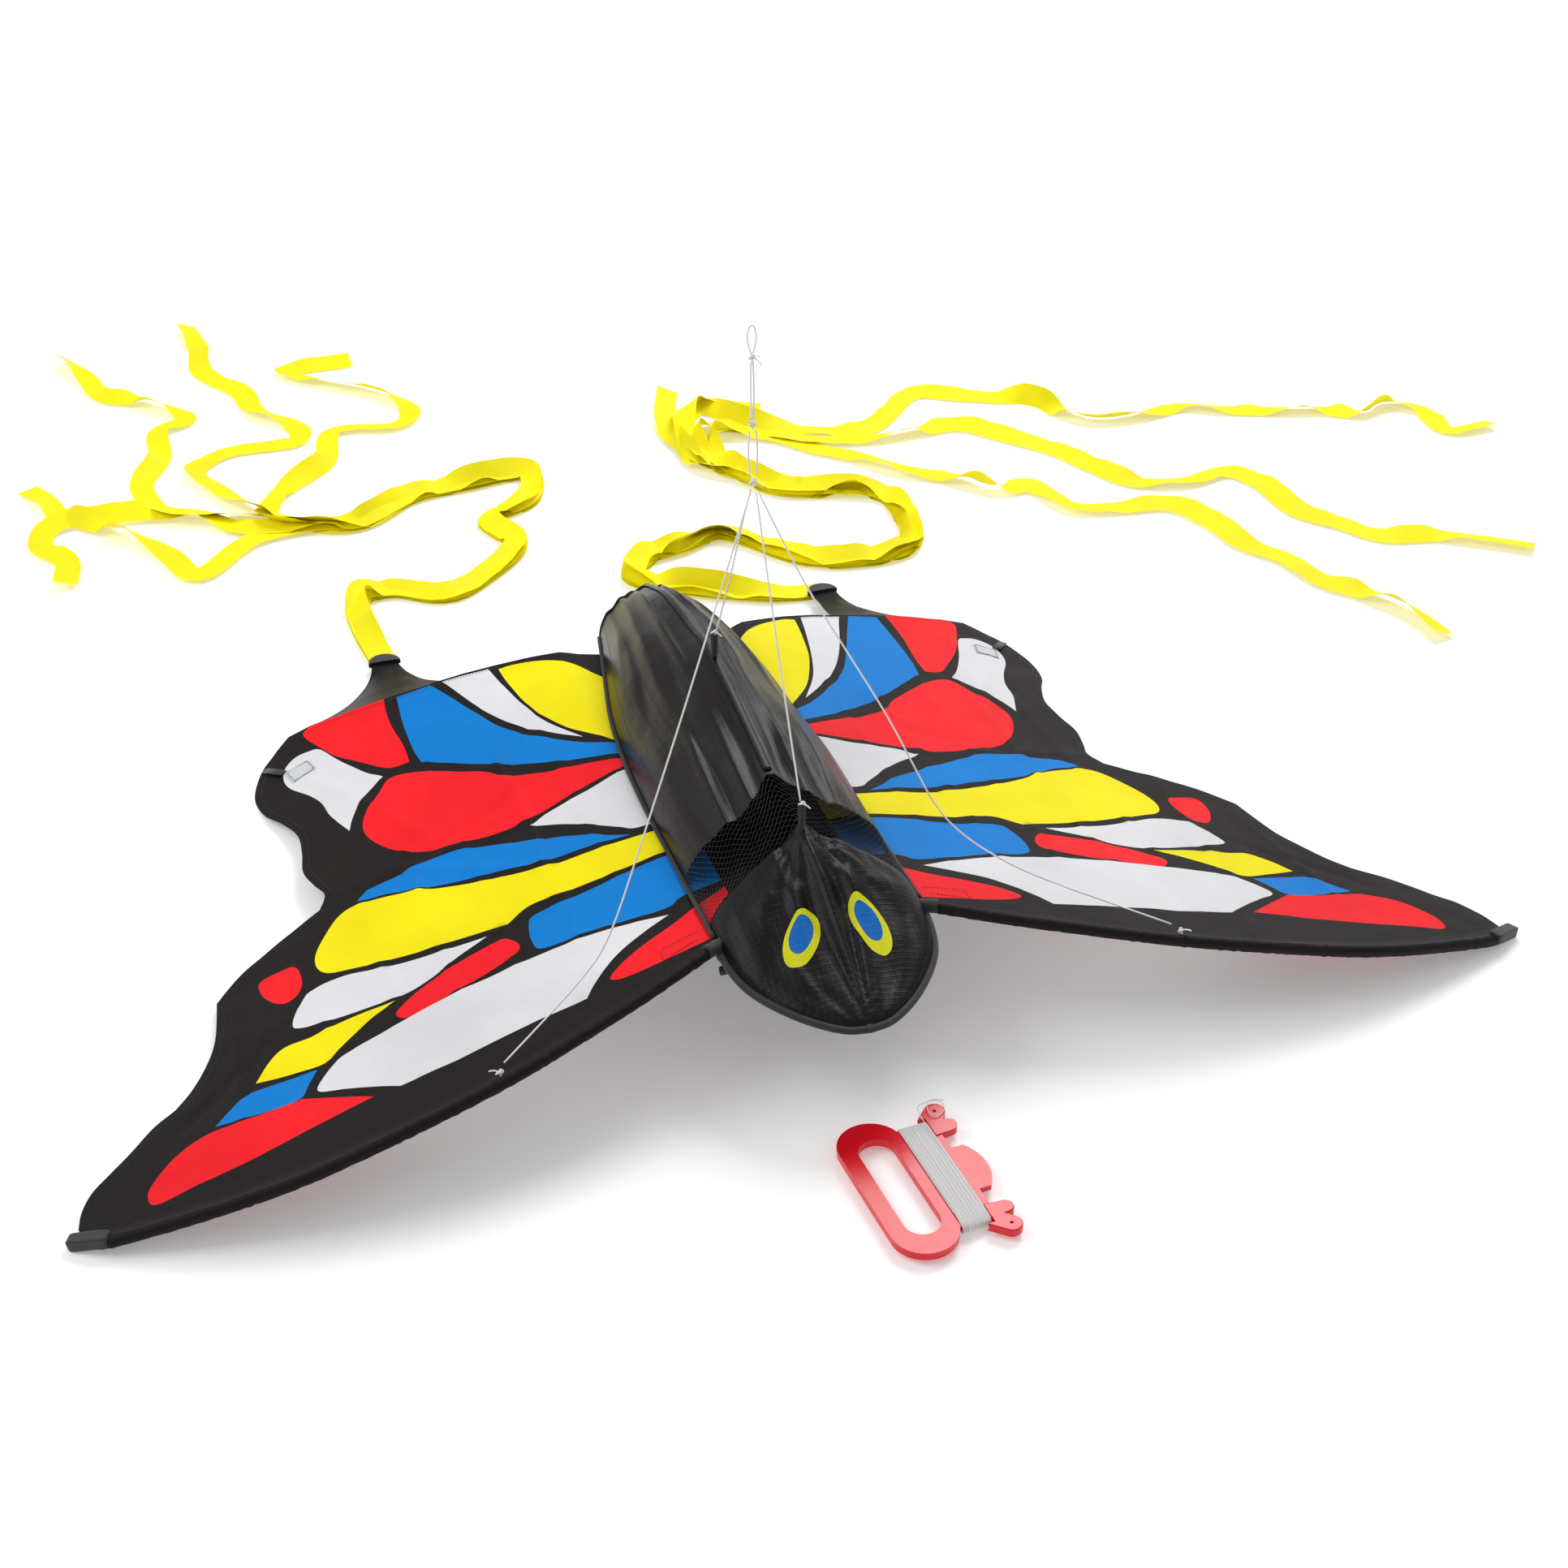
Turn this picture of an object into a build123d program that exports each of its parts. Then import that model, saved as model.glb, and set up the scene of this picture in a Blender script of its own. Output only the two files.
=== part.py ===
from build123d import *
import math
import os

# Butterfly kite with a windsock body, two folding wings, ribbon tails, a bridle and a hand winder.
# Millimetres. X is the kite's right wing, Y runs from head to tail, Z is up and the floor is z = 0.
# The kite lies belly up: the bridle holds its middle clear of the floor and the wings droop to it.
# Lengths below are in kite coordinates (y = 0 near the bridle knots); export() moves them to the part frame.

# ---------------------------------------------------------------- sail shape
SAIL_HEIGHT = 127.0        # sail over the floor at the hinge side of the body
SAIL_T = 1.0               # stand-in thickness of the fabric
SADDLE = 0.2855e-3         # how fast the sail rises away from its middle, per mm
SADDLE_Y = 300.0           # the middle of the saddle
SADDLE_X = 170.0           # the saddle fades out towards the body over this width
DROOP = (0.238, -0.113e-3, 0.564e-6)   # wing slope at y = 0 and how it grows along y

HINGE_X = 96.0             # each wing folds along this line beside the body
HINGE_GAP = 1.0            # gap between a wing and the middle panel at the fold
FRONT_Y = 62.0             # the wings' front corner at the fold
REAR_Y = 588.0             # the wings' rear corner at the fold
BODY_REAR_Y = 562.0        # rear edge of the middle panel at the centre line
PANEL_FRONT_Y = 48.0       # front edge of the middle panel
PANEL_NOTCH_X = 55.0       # half width of the notch in its rear edge

WING_TRAIL = [(97, 588), (150, 607), (210, 620), (262, 632), (345, 650), (368, 650)]
WING_HIND = [(368, 650), (386, 632), (404, 608), (415, 570), (411, 532), (398, 503), (387, 468),
             (388, 435), (392, 402), (386, 370), (380, 348), (388, 327)]
WING_STEP = [(388, 327), (418, 310), (442, 295), (466, 278), (484, 258), (494, 245)]
WING_SIDE = [(494, 245), (497, 220), (503, 185), (514, 155), (528, 130), (545, 110)]
WING_FORE = [(545, 110), (565, 96), (582, 78), (604, 56), (620, 40), (630, 20), (634, 2)]

# ---------------------------------------------------------------- rods and sleeves
ROD_D = 4.0                # fibreglass rods of the wings
SLEEVE_D = 8.0             # outside of the rolled fabric sleeve round a leading edge rod
SLEEVE_WALL = 1.0
SLEEVE_GAP = 3.2           # sleeve to the sail's own edge
LEADING_EDGE = [(99, 53), (200, 5), (300, -31), (420, -49), (500, -49), (600, -33), (630, -20)]
TIP_POCKET = (34.0, 9.0, 9.4)         # length, width, height of the pocket at a wing tip
TIP_WALL = 1.2
ROD_SHARE = 0.985          # share of the leading edge line that the rod fills
SLEEVE_SHARE = 0.93        # share that the sleeve covers, up to the tip pocket

SPINE_FRONT_Y = -40.0
SPINE_REAR_Y = 556.0
SPINE_DROP = 9.0           # spine rod's centre under the middle panel
SPINE_SLEEVE_D = 8.0
HUB_Y = 215.0              # the two diagonal rods meet here
HUB_SIZE = (34.0, 30.0, 16.0)
HUB_DROP = 20.0            # hub's centre under the middle panel
ARM_D = 8.0                # tube arms of the hub
POCKET_POINT = (374.0, 590.0)           # outer end of a diagonal rod
POCKET_BACK = 34.0         # length of the webbing pocket along the rod
POCKET_W = 16.0
POCKET_H = 7.0
POCKET_WALL = 1.0
ROD_UNDER = 8.0            # diagonal rod's centre under the sail at its outer end
FRONT_TUBE_D = 8.0         # flexible tube that joins the two leading edge rods
FRONT_TUBE_Y = 46.0

# ---------------------------------------------------------------- body, mesh and head
SKIN_T = 1.0               # stand-in thickness of the body fabric
SKIN_GAP = 0.5             # body skin to the middle panel
SEAM_GAP = 0.4             # between the two halves of the body along the keel seam
BODY_STATIONS = [          # y, half width, height over the panel
    (176, 90.0, 66.0), (276, 90.0, 84.0), (361, 87.0, 98.0), (442, 79.0, 92.0), (527, 63.0, 80.0), (606, 49.0, 52.0)]
MESH_STATIONS = [(112, 90.0, 66.0), (144, 90.0, 60.0), (174, 90.0, 65.0)]
HEAD_STATIONS = [(108, 90.0, 62.0), (68, 90.0, 46.0), (30, 86.0, 30.0), (-8, 70.0, 16.0), (-40, 42.0, 8.0)]
HEM_SIDE_X = 88.0          # head hoop: half width
HEM_SIDE_Y = 62.0          # where the hoop's straight sides start
HEM_NOSE_Y = -60.0         # front of the hoop
HEM_DROP = 8.0             # hoop's centre under the middle panel's level
HOOP_D = 3.0
HOOP_CLEAR = 0.5           # hoop rod to the pocket's bore, all round
HEM_D = 6.5
HEM_WALL = 1.0
HEM_POCKET = (9.0, 26.0, 9.0)           # pocket tabs that take the hoop's ends
BINDING_D = 2.6            # bound seam along each side of the body
BINDING_GAP = 0.9          # seam to the skin and to the panel
CINCH_D = 2.5              # drawcord round the body's rear end

# ---------------------------------------------------------------- bridle
LINE_D = 1.6
KNOT_D = 6.0
LOOP_STRIP = (5.0, 1.2)    # width and thickness of the webbing of a keel loop
LOOP_SIZE = (14.0, 8.0)    # outside of a keel loop, height and width
LOOP_FOOT_GAP = 0.8        # stitched foot of a keel loop to the fabric under it
KEEL_FRONT = (0.0, 109.0, SAIL_HEIGHT + 66.0)
KEEL_REAR = (0.0, 361.0, SAIL_HEIGHT + 94.0)
JOIN = (0.0, 237.0, SAIL_HEIGHT + 312.0)        # knots where the four legs meet
UPPER_Z = SAIL_HEIGHT + 364.0
TOP_Z = SAIL_HEIGHT + 423.0
TOW_TOP_Z = SAIL_HEIGHT + 448.0
STRAND = 2.6               # the two legs of a doubled line stand this far either side
WING_KNOT = (296.0, -21.0)
# The heights of the legs' points are over SAIL_HEIGHT.
LEG_LEFT = [(-4, 234, 303), (-69, 176, 181), (-139, 115, 58), (-178, 82, -10), (-206, 57, -21), (-246, 22, -27),
            (-291, -16, -33)]
LEG_RIGHT = [(4, 234, 303), (30, 211, 235), (62, 183, 173), (92, 156, 116), (112, 139, 69), (129, 125, 29),
             (152, 106, 4), (186, 76, -13), (222, 44, -21), (258, 12, -27), (291, -16, -33)]
LEG_FRONT = [(1, 232, 304), (1, 206, 248), (0, 172, 185), (0, 142, 127), (0, 113, 73)]
LEG_REAR = [(-1, 241, 304), (-1, 270, 253), (0, 301, 197), (0, 331, 145), (0, 357, 101)]

# ---------------------------------------------------------------- swallowtail flaps and ribbons
FLAP_TOP = [(218, 626), (340, 654)]     # seam under the wing's trailing edge
FLAP_SEAM_DROP = 3.0
FLAP_TIP = [(232, 764), (263, 770)]     # rear end, on the floor
FLAP_FLOOR = 9.0
TAB_R = 16.0               # half-round cap that holds the ribbons
TAB_CENTRE = (247.0, 771.0)
TAB_Z = (8.6, 12.6)
RIBBON_W = 28.0
RIBBON_T = 0.5
RIBBON_PITCH = 1.0         # each ribbon of a bundle lies this much over the one before
RIBBON_FLOOR = 0.6

LEFT_BUNDLE = [(-246, 800), (-253, 868), (-246, 929), (-205, 938), (-152, 908), (-103, 938), (-50, 1000), (-68, 1070),
               (-10, 1110), (2, 1178), (-73, 1172), (-143, 1160), (-208, 1112), (-262, 1122)]
LEFT_ENDS = [
    [(-317, 1150), (-291, 1224), (-228, 1278), (-201, 1375), (-120, 1366), (-96, 1414), (-131, 1476), (-186, 1526),
     (-232, 1574), (-142, 1582)],
    [(-330, 1190), (-362, 1257), (-381, 1312), (-335, 1357), (-250, 1360), (-246, 1410), (-284, 1460), (-297, 1532),
     (-335, 1610), (-330, 1690), (-337, 1764)],
    [(-340, 1170), (-420, 1196), (-448, 1287), (-418, 1355), (-411, 1440), (-372, 1470), (-421, 1537), (-466, 1570),
     (-486, 1650), (-511, 1704)],
    [(-340, 1110), (-410, 1042), (-440, 1110), (-493, 1186), (-541, 1226), (-562, 1290), (-585, 1333)],
    [(-345, 1140), (-400, 1196), (-490, 1214), (-552, 1218), (-576, 1170), (-550, 1120), (-556, 1062)]]
RIGHT_BUNDLE = [(246, 800), (190, 795), (118, 832), (60, 878), (84, 922), (127, 932), (186, 950), (258, 862),
                (319, 840), (376, 848), (400, 900), (402, 980), (352, 1012), (290, 1035), (252, 1090)]
RIGHT_ENDS = [
    [(212, 1160), (214, 1240), (260, 1290), (300, 1230), (397, 1178), (453, 1172), (530, 1246), (587, 1224),
     (649, 1192), (688, 1148), (724, 1100), (784, 1092), (850, 1102), (899, 1076), (952, 1055), (1017, 1034),
     (1062, 1008), (1104, 1022), (1138, 996), (1140, 930), (1208, 932)],
    [(224, 1150), (236, 1228), (290, 1222), (364, 1160), (441, 1138), (501, 1139), (556, 1138), (599, 1092),
     (643, 1038), (669, 981), (698, 926), (761, 904), (818, 914), (845, 870), (850, 796), (886, 746), (919, 700),
     (978, 684), (1025, 655), (1068, 622)],
    [(236, 1138), (252, 1208), (320, 1184), (366, 1130), (402, 1096), (445, 1042), (496, 1000), (535, 956), (578, 948),
     (602, 884), (654, 866), (714, 852), (741, 795), (752, 738), (782, 690), (798, 626), (831, 581), (855, 534),
     (862, 464)],
    [(214, 1130), (200, 1196), (206, 1268), (232, 1348)],
    [(240, 1120), (214, 1180), (228, 1250), (262, 1300), (330, 1262)]]

# ---------------------------------------------------------------- winder
WINDER_C = (11.0, -163.0)
WINDER_TURN = 4.0          # degrees about Z
GRIP = (56.0, 158.0)       # outside of the grip ring
GRIP_X = -23.0             # ring's centre from the winder's centre
GRIP_HOLE = (31.0, 116.0)
GRIP_HOLE_SHIFT = 2.0
WINDER_T = 7.0
WINDER_LIFT = 4.0          # frame's underside over the floor, since the wound line stands proud
WEB = (38.0, 118.0)        # plate that carries the line
WEB_X = 18.0
HORN_R = 9.0               # rounded ends of the two line horns
HORN_TIP = (43.0, 71.0)
HORN_ROOT = (24.0, 52.0)
HORN_KNUCKLE = (47.0, 52.0)
KNUCKLE_R = 7.0
HORN_HOLE_R = 1.5
BUMP_R = 44.0              # round stop in the middle of the web's outer edge
BUMP_SHIFT = 30.0
BUMP_X = 12.0
BUMP_H = 52.0
WEB_T = 5.0
RIM_ROUND = 1.2            # rounding of the frame's upper edges
LINE_COIL_W = 27.0
LINE_COIL_T = 4.0          # build-up of line over the web, on each side
LINE_COIL_X = 18.0
COIL_CLEAR = 0.3
COIL_BULGE = 6.0           # how far the turns bow out past the web's ends, both together

# ---------------------------------------------------------------- part frame
ORIGIN_Y = 271.8           # middle of the length from the winder to the tail tabs, along Y


def saddle(x):
    return 1 - math.exp(-(x / SADDLE_X) ** 2)


def sail_z(x, y):
    """Height of the sail's upper face over the floor."""
    slope = DROOP[0] + DROOP[1] * y + DROOP[2] * y * y
    return SAIL_HEIGHT + SADDLE * (y - SADDLE_Y) ** 2 * saddle(x) - abs(x) * slope


def panel_z(y):
    """Height of the middle panel's upper face: level with the wings at the fold."""
    return sail_z(HINGE_X, y)


def export(node, shape):
    moved = Pos(0, -ORIGIN_Y, 0) * shape
    export_step(moved, f"parts/{node}.step")


def tube(path, outer, inner=0.0):
    """Round bar or pipe along a wire."""
    start = Plane(origin=path @ 0, z_dir=path % 0)
    profile = Circle(outer / 2) if inner == 0 else Circle(outer / 2) - Circle(inner / 2)
    return sweep(start * profile, path=path, transition=Transition.ROUND)


def bar(start, end, outer, inner=0.0):
    return tube(Line(start, end), outer, inner)


def cord(points, diameter):
    """Round cord along hand-placed points, with an arc at every bend."""
    places = [Vector(*p) for p in points]
    radii = []
    for before, here, after in zip(places, places[1:], places[2:]):
        run_in = here - before
        run_out = after - here
        half_turn = math.radians(run_in.get_angle(run_out)) / 2
        radii.append(0.45 * min(run_in.length, run_out.length) / math.tan(half_turn))
    path = FilletPolyline(*places, radius=radii)
    return tube(path, diameter)


def surface(x_low, x_high, y_low, y_high, height, columns=9, rows=15):
    """Smooth sheet over a rectangle in plan."""
    grid = []
    for i in range(columns):
        x = x_low + (x_high - x_low) * i / (columns - 1)
        grid.append([Vector(x, y_low + (y_high - y_low) * j / (rows - 1), height(x, y_low + (y_high - y_low) * j
                     / (rows - 1))) for j in range(rows)])
    return Face.make_surface_from_array_of_points(grid)


def plate(face, thickness):
    """Solid under a sheet, measured straight down."""
    return Solid.extrude(face, Vector(0, 0, -thickness))


def leading_edge():
    """Rod line of the right leading edge."""
    return [(x, y, sail_z(x, y)) for x, y in LEADING_EDGE]


def wing_sail():
    """Right wing: the sail cut to its scalloped outline."""
    front = [(x, y + SLEEVE_D / 2 + SLEEVE_GAP) for x, y in LEADING_EDGE]
    front[0] = (HINGE_X + HINGE_GAP, FRONT_Y)
    front[-1] = WING_FORE[-1]
    with BuildSketch() as outline:
        with BuildLine():
            Spline(*front)
            Line((HINGE_X + HINGE_GAP, FRONT_Y), (HINGE_X + HINGE_GAP, REAR_Y))
            Spline(*WING_TRAIL)
            Spline(*WING_HIND)
            Spline(*WING_STEP)
            Spline(*WING_SIDE)
            Spline(*WING_FORE)
        make_face()
    sheet = plate(surface(80, 660, -70, 680, sail_z), SAIL_T)
    return sheet & extrude(outline.sketch, 300)


def centre_sail():
    """Panel under the body, between the two folds."""
    edge = HINGE_X - HINGE_GAP
    with BuildSketch() as outline:
        with BuildLine():
            Polyline((-edge, PANEL_FRONT_Y), (edge, PANEL_FRONT_Y), (edge, REAR_Y), (PANEL_NOTCH_X, BODY_REAR_Y),
                     (-PANEL_NOTCH_X, BODY_REAR_Y), (-edge, REAR_Y), close=True)
        make_face()
    sheet = plate(surface(-100, 100, 0, 620, lambda x, y: panel_z(y)), SAIL_T)
    return sheet & extrude(outline.sketch, 300)


def arch(y, half_width, height, inset, sink):
    """Upright section of the body or head: a rounded tent over the panel."""
    base = panel_z(y) + SKIN_GAP
    w = half_width - inset
    h = height - inset
    low = base - sink
    curve = Spline((-w, y, base), (-0.86 * w, y, base + 0.47 * h), (-0.5 * w, y, base + 0.82 * h), (0, y, base + h),
                   (0.5 * w, y, base + 0.82 * h), (0.86 * w, y, base + 0.47 * h), (w, y, base))
    sides = [Line((w, y, base), (w, y, low)), Line((w, y, low), (-w, y, low)), Line((-w, y, low), (-w, y, base))]
    return Face(Wire([curve.edge(), *[side.edge() for side in sides]]))


def skin(stations, run=2.0):
    """Open arch of fabric through a list of stations."""
    outer = loft([arch(y, w, h, 0, 0.01) for y, w, h in stations])
    first, last = stations[0], stations[-1]
    way = math.copysign(run, last[0] - first[0])
    inside = [(first[0] - way, first[1], first[2]), *stations[1:-1], (last[0] + way, last[1], last[2])]
    inner = loft([arch(y, w, h, SKIN_T, 4.0) for y, w, h in inside])
    return outer - inner


def half(shape, side):
    """The part of a shape on one side of the keel seam."""
    box = Pos(side * (200 + SEAM_GAP / 2), 300, 200) * Box(400, 1400, 600)
    return shape & box


def hoop_path():
    """Head hoop: two straight sides and a round nose, level with the head's rim."""
    low_back = panel_z(HEM_SIDE_Y) - HEM_DROP
    low_nose = panel_z(0) - HEM_DROP - 4
    cheek = (0.86 * HEM_SIDE_X, HEM_NOSE_Y + 0.38 * (HEM_SIDE_Y - HEM_NOSE_Y), low_nose + 2)
    return Spline((-HEM_SIDE_X, HEM_SIDE_Y, low_back), (-cheek[0], *cheek[1:]), (0, HEM_NOSE_Y, low_nose), cheek,
                  (HEM_SIDE_X, HEM_SIDE_Y, low_back), tangents=[(0, -1, 0), (0, 1, 0)])


def binding(side):
    """Bound seam along the body's side, beside the skin."""
    stations = [MESH_STATIONS[0], *BODY_STATIONS]
    off = BINDING_D / 2 + BINDING_GAP
    return tube(Spline(*[(side * (w + off), y, panel_z(y) + off) for y, w, h in stations]), BINDING_D)


def cinch():
    """Drawcord over the body's gathered rear end."""
    y, w, h = BODY_STATIONS[-1]
    grow = CINCH_D / 2 + SKIN_GAP
    base = panel_z(y) + BINDING_D + 2 * BINDING_GAP + grow
    over = Spline((-w - grow, y - 4, base), (-0.86 * w - grow, y - 4, base + 0.5 * h + grow),
                  (0, y - 4, base + h + 2 * grow), (0.86 * w + grow, y - 4, base + 0.5 * h + grow),
                  (w + grow, y - 4, base))
    return tube(over, CINCH_D)


def keel_loop(place, station):
    """Webbing loop on a foot that stands on the keel seam, with a hole for the bridle line."""
    w, t = LOOP_STRIP
    long, wide = LOOP_SIZE
    ring = extrude(Plane.YZ * (SlotOverall(long, wide) - SlotOverall(long - 2 * t, wide - 2 * t)), w / 2, both=True)
    y, half_width, height = station
    low = panel_z(y) + SKIN_GAP + height + LOOP_FOOT_GAP
    high = place[2] - long / 2 + t / 2
    foot = Pos(place[0], place[1], (low + high) / 2) * Box(w, 2 * t, high - low)
    return Pos(*place) * Rot(90, 0, 0) * ring + foot


def over_sail(points):
    """A bridle leg's points with their heights over the floor."""
    return [(x, y, SAIL_HEIGHT + z) for x, y, z in points]


def knot(place, size=KNOT_D):
    return Pos(*place) * Sphere(size / 2)


def arms(side):
    """Centre line of one diagonal rod from the fold to its pocket."""
    x_end, y_end = POCKET_POINT
    end = Vector(side * x_end, y_end, sail_z(x_end, y_end) - ROD_UNDER)
    hub = Vector(0, HUB_Y, panel_z(HUB_Y) - HUB_DROP)
    return hub, end


def along(side, x):
    hub, end = arms(side)
    return hub + (end - hub) * (x / POCKET_POINT[0])


def ribbon(points, level):
    """Flat ribbon lying on the floor along a route, with round bends."""
    strip = Sketch()
    for a, b in zip(points, points[1:]):
        run = math.dist(a, b)
        angle = math.degrees(math.atan2(b[1] - a[1], b[0] - a[0]))
        middle = ((a[0] + b[0]) / 2, (a[1] + b[1]) / 2)
        strip += Pos(*middle) * Rot(0, 0, angle) * Rectangle(run, RIBBON_W)
    for bend in points[1:-1]:
        strip += Pos(*bend) * Circle(RIBBON_W / 2)
    low = RIBBON_FLOOR + level * RIBBON_PITCH
    return Pos(0, 0, low) * extrude(strip, RIBBON_T)


def winder_place(shape):
    return Pos(WINDER_C[0], WINDER_C[1], 0) * Rot(0, 0, WINDER_TURN) * shape


def horn(side):
    """One line horn: a tapered arm with a knuckle and a drilled round end."""
    tip = (HORN_TIP[0], side * HORN_TIP[1])
    root = (HORN_ROOT[0], side * HORN_ROOT[1])
    arm = make_hull([Pos(*tip) * Circle(HORN_R).edge(), Pos(*root) * Circle(HORN_R).edge()])
    lobe = make_hull([Pos(HORN_KNUCKLE[0], side * HORN_KNUCKLE[1]) * Circle(KNUCKLE_R).edge(),
                      Pos(*root) * Circle(HORN_R).edge()])
    return arm + lobe


def winder_frame():
    ring = Pos(GRIP_X, 0) * (SlotOverall(GRIP[1], GRIP[0], rotation=90))
    hole = Pos(GRIP_X + GRIP_HOLE_SHIFT, 0) * SlotOverall(GRIP_HOLE[1], GRIP_HOLE[0], rotation=90)
    thick = extrude(ring - hole + horn(1) + horn(-1), WINDER_T)
    thick = fillet(thick.faces().sort_by(Axis.Z)[-1].edges(), RIM_ROUND)
    for side in (1, -1):
        thick -= Pos(HORN_TIP[0], side * HORN_TIP[1]) * extrude(Circle(HORN_HOLE_R), 3 * WINDER_T, both=True)
    bump = (Pos(BUMP_X, 0) * Circle(BUMP_R)) & (Pos(BUMP_X + BUMP_SHIFT, 0) * Rectangle(BUMP_SHIFT, BUMP_H))
    middle = extrude(bump + Pos(WEB_X, 0) * Rectangle(*WEB), WEB_T)
    middle = Pos(0, 0, (WINDER_T - WEB_T) / 2) * middle
    body = thick + middle - extrude(hole, 3 * WINDER_T, both=True)
    notch = coil(COIL_CLEAR)
    return winder_place(Pos(0, 0, WINDER_LIFT) * body - notch)


def coil(clear=0.0):
    """Wound line: a flat band round the web, with the web's section as its hole."""
    mid_z = WINDER_LIFT + WINDER_T / 2
    long_out = WEB[1] + 2 * LINE_COIL_T + COIL_BULGE
    outer = SlotOverall(long_out + 2 * clear, WEB_T + 2 * LINE_COIL_T + 2 * clear)
    inner = Rectangle(WEB[1] - 2 * clear, WEB_T + 2 * COIL_CLEAR - 2 * clear)
    side_view = Plane.YZ * (outer - inner)
    band = extrude(side_view, LINE_COIL_W / 2 + clear, both=True)
    return Pos(LINE_COIL_X, 0, mid_z) * band


def wing_parts(side_name, mirrored):
    """Every piece of one wing, built for the right and mirrored for the left."""
    def put(node, shape):
        export(f"{node}_{side_name}", mirror(shape, about=Plane.YZ) if mirrored else shape)

    put("wing_sail", wing_sail())
    rod_line = Spline(*leading_edge()).edge()
    put("leading_edge_rod", tube(rod_line.trim(0, ROD_SHARE), ROD_D))
    put("leading_edge_sleeve", tube(rod_line.trim(0.004, SLEEVE_SHARE), SLEEVE_D, SLEEVE_D - 2 * SLEEVE_WALL))
    put("tip_pocket", tip_pocket(rod_line))

    rod_start, rod_end = along(1, HINGE_X + HINGE_GAP + 3), arms(1)[1]
    put("diagonal_rod", bar(rod_start, rod_end, ROD_D))
    put("hind_pocket", hind_pocket(rod_start, rod_end))

    flap_points = [[Vector(x, y, sail_z(x, y) - FLAP_SEAM_DROP) for x, y in FLAP_TOP],
                   [Vector(x, y, FLAP_FLOOR) for x, y in FLAP_TIP]]
    put("tail_flap", plate(Face.make_surface_from_array_of_points(flap_points), SAIL_T))
    tab = Pos(*TAB_CENTRE) * (Circle(TAB_R) & Pos(0, TAB_R / 2 + 1) * Rectangle(3 * TAB_R, TAB_R - 2))
    put("tail_tab", Pos(0, 0, TAB_Z[0]) * extrude(tab, TAB_Z[1] - TAB_Z[0]))

    x, y = WING_KNOT
    rest = sail_z(x, y - 3) + SLEEVE_D / 2 + KNOT_D / 2
    put("wing_line_knot", knot((x, y - 3, rest)))


def tip_pocket(rod_line):
    """Stitched pocket over the rod's outer end, closed at the tip."""
    length, width, height = TIP_POCKET
    pocket = Box(length, width, height) - Pos(-TIP_WALL, 0, 0) * Box(length, width - 2 * TIP_WALL,
                                                                     height - 2 * TIP_WALL)
    way = rod_line % 0.97
    seat = Plane(origin=rod_line @ 0.97, x_dir=way, z_dir=(-way.Z * way.X, -way.Z * way.Y, way.X ** 2 + way.Y ** 2))
    return seat * Pos(TIP_WALL + 1, 0, 0) * pocket


def hind_pocket(rod_start, rod_end):
    """Webbing pocket under the sail that takes a diagonal rod's outer end."""
    way = (rod_end - rod_start).normalized()
    seat = Plane(origin=rod_end - way * (POCKET_BACK / 2 - 3), z_dir=way, x_dir=(way.Y, -way.X, 0))
    shell = Box(POCKET_W, POCKET_H, POCKET_BACK)
    shell -= Pos(0, 0, -POCKET_WALL) * Box(POCKET_W - 2 * POCKET_WALL, POCKET_H - 2 * POCKET_WALL, POCKET_BACK)
    return seat * shell


def frame_parts():
    """Rods and fittings under the middle panel."""
    front = (0, SPINE_FRONT_Y, panel_z(SPINE_FRONT_Y) - SPINE_DROP)
    rear = (0, SPINE_REAR_Y, panel_z(SPINE_REAR_Y) - SPINE_DROP)
    spine = Line(front, rear).edge()
    export("spine_rod", tube(spine, ROD_D))
    export("spine_sleeve", tube(spine.trim(0.22, 0.98), SPINE_SLEEVE_D, SPINE_SLEEVE_D - 2 * SLEEVE_WALL))
    hub = Pos(0, HUB_Y, panel_z(HUB_Y) - HUB_DROP) * Box(*HUB_SIZE)
    hub = fillet(hub.edges().filter_by(Axis.Z), 5)
    for side in (-1, 1):
        hub += bar(along(side, 8), along(side, HINGE_X - HINGE_GAP - 6), ARM_D)
    export("rod_hub", hub)
    tube_z = panel_z(FRONT_TUBE_Y) - FRONT_TUBE_D - 10
    tube_end = HINGE_X - HINGE_GAP - 2
    front_tube = bar((-tube_end, FRONT_TUBE_Y, tube_z), (tube_end, FRONT_TUBE_Y, tube_z), FRONT_TUBE_D, ROD_D + 0.2)
    export("front_tube", front_tube)


def body_parts():
    export("centre_sail", centre_sail())
    body = skin(BODY_STATIONS)
    export("air_mesh", skin(MESH_STATIONS))
    export("head_pouch", skin(HEAD_STATIONS))
    hoop = hoop_path().edge()
    export("head_hoop_rod", tube(hoop, HOOP_D))
    export("head_hem", tube(hoop.trim(0.05, 0.95), HEM_D, HEM_D - 2 * HEM_WALL))
    for name, side in (("left", -1), ("right", 1)):
        export(f"body_skin_{name}", half(body, side))
        export(f"body_binding_{name}", binding(side))
        end = hoop @ (0 if side < 0 else 1)
        mouth = Cylinder(HOOP_D / 2 + HOOP_CLEAR, HEM_POCKET[1], rotation=(90, 0, 0))
        cap = Box(*HEM_POCKET) - Pos(0, -HEM_POCKET[1] / 2, 0) * mouth
        export(f"hoop_pocket_{name}", Pos(end.X, end.Y + 1, end.Z) * cap)
    export("rear_drawcord", cinch())


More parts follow.
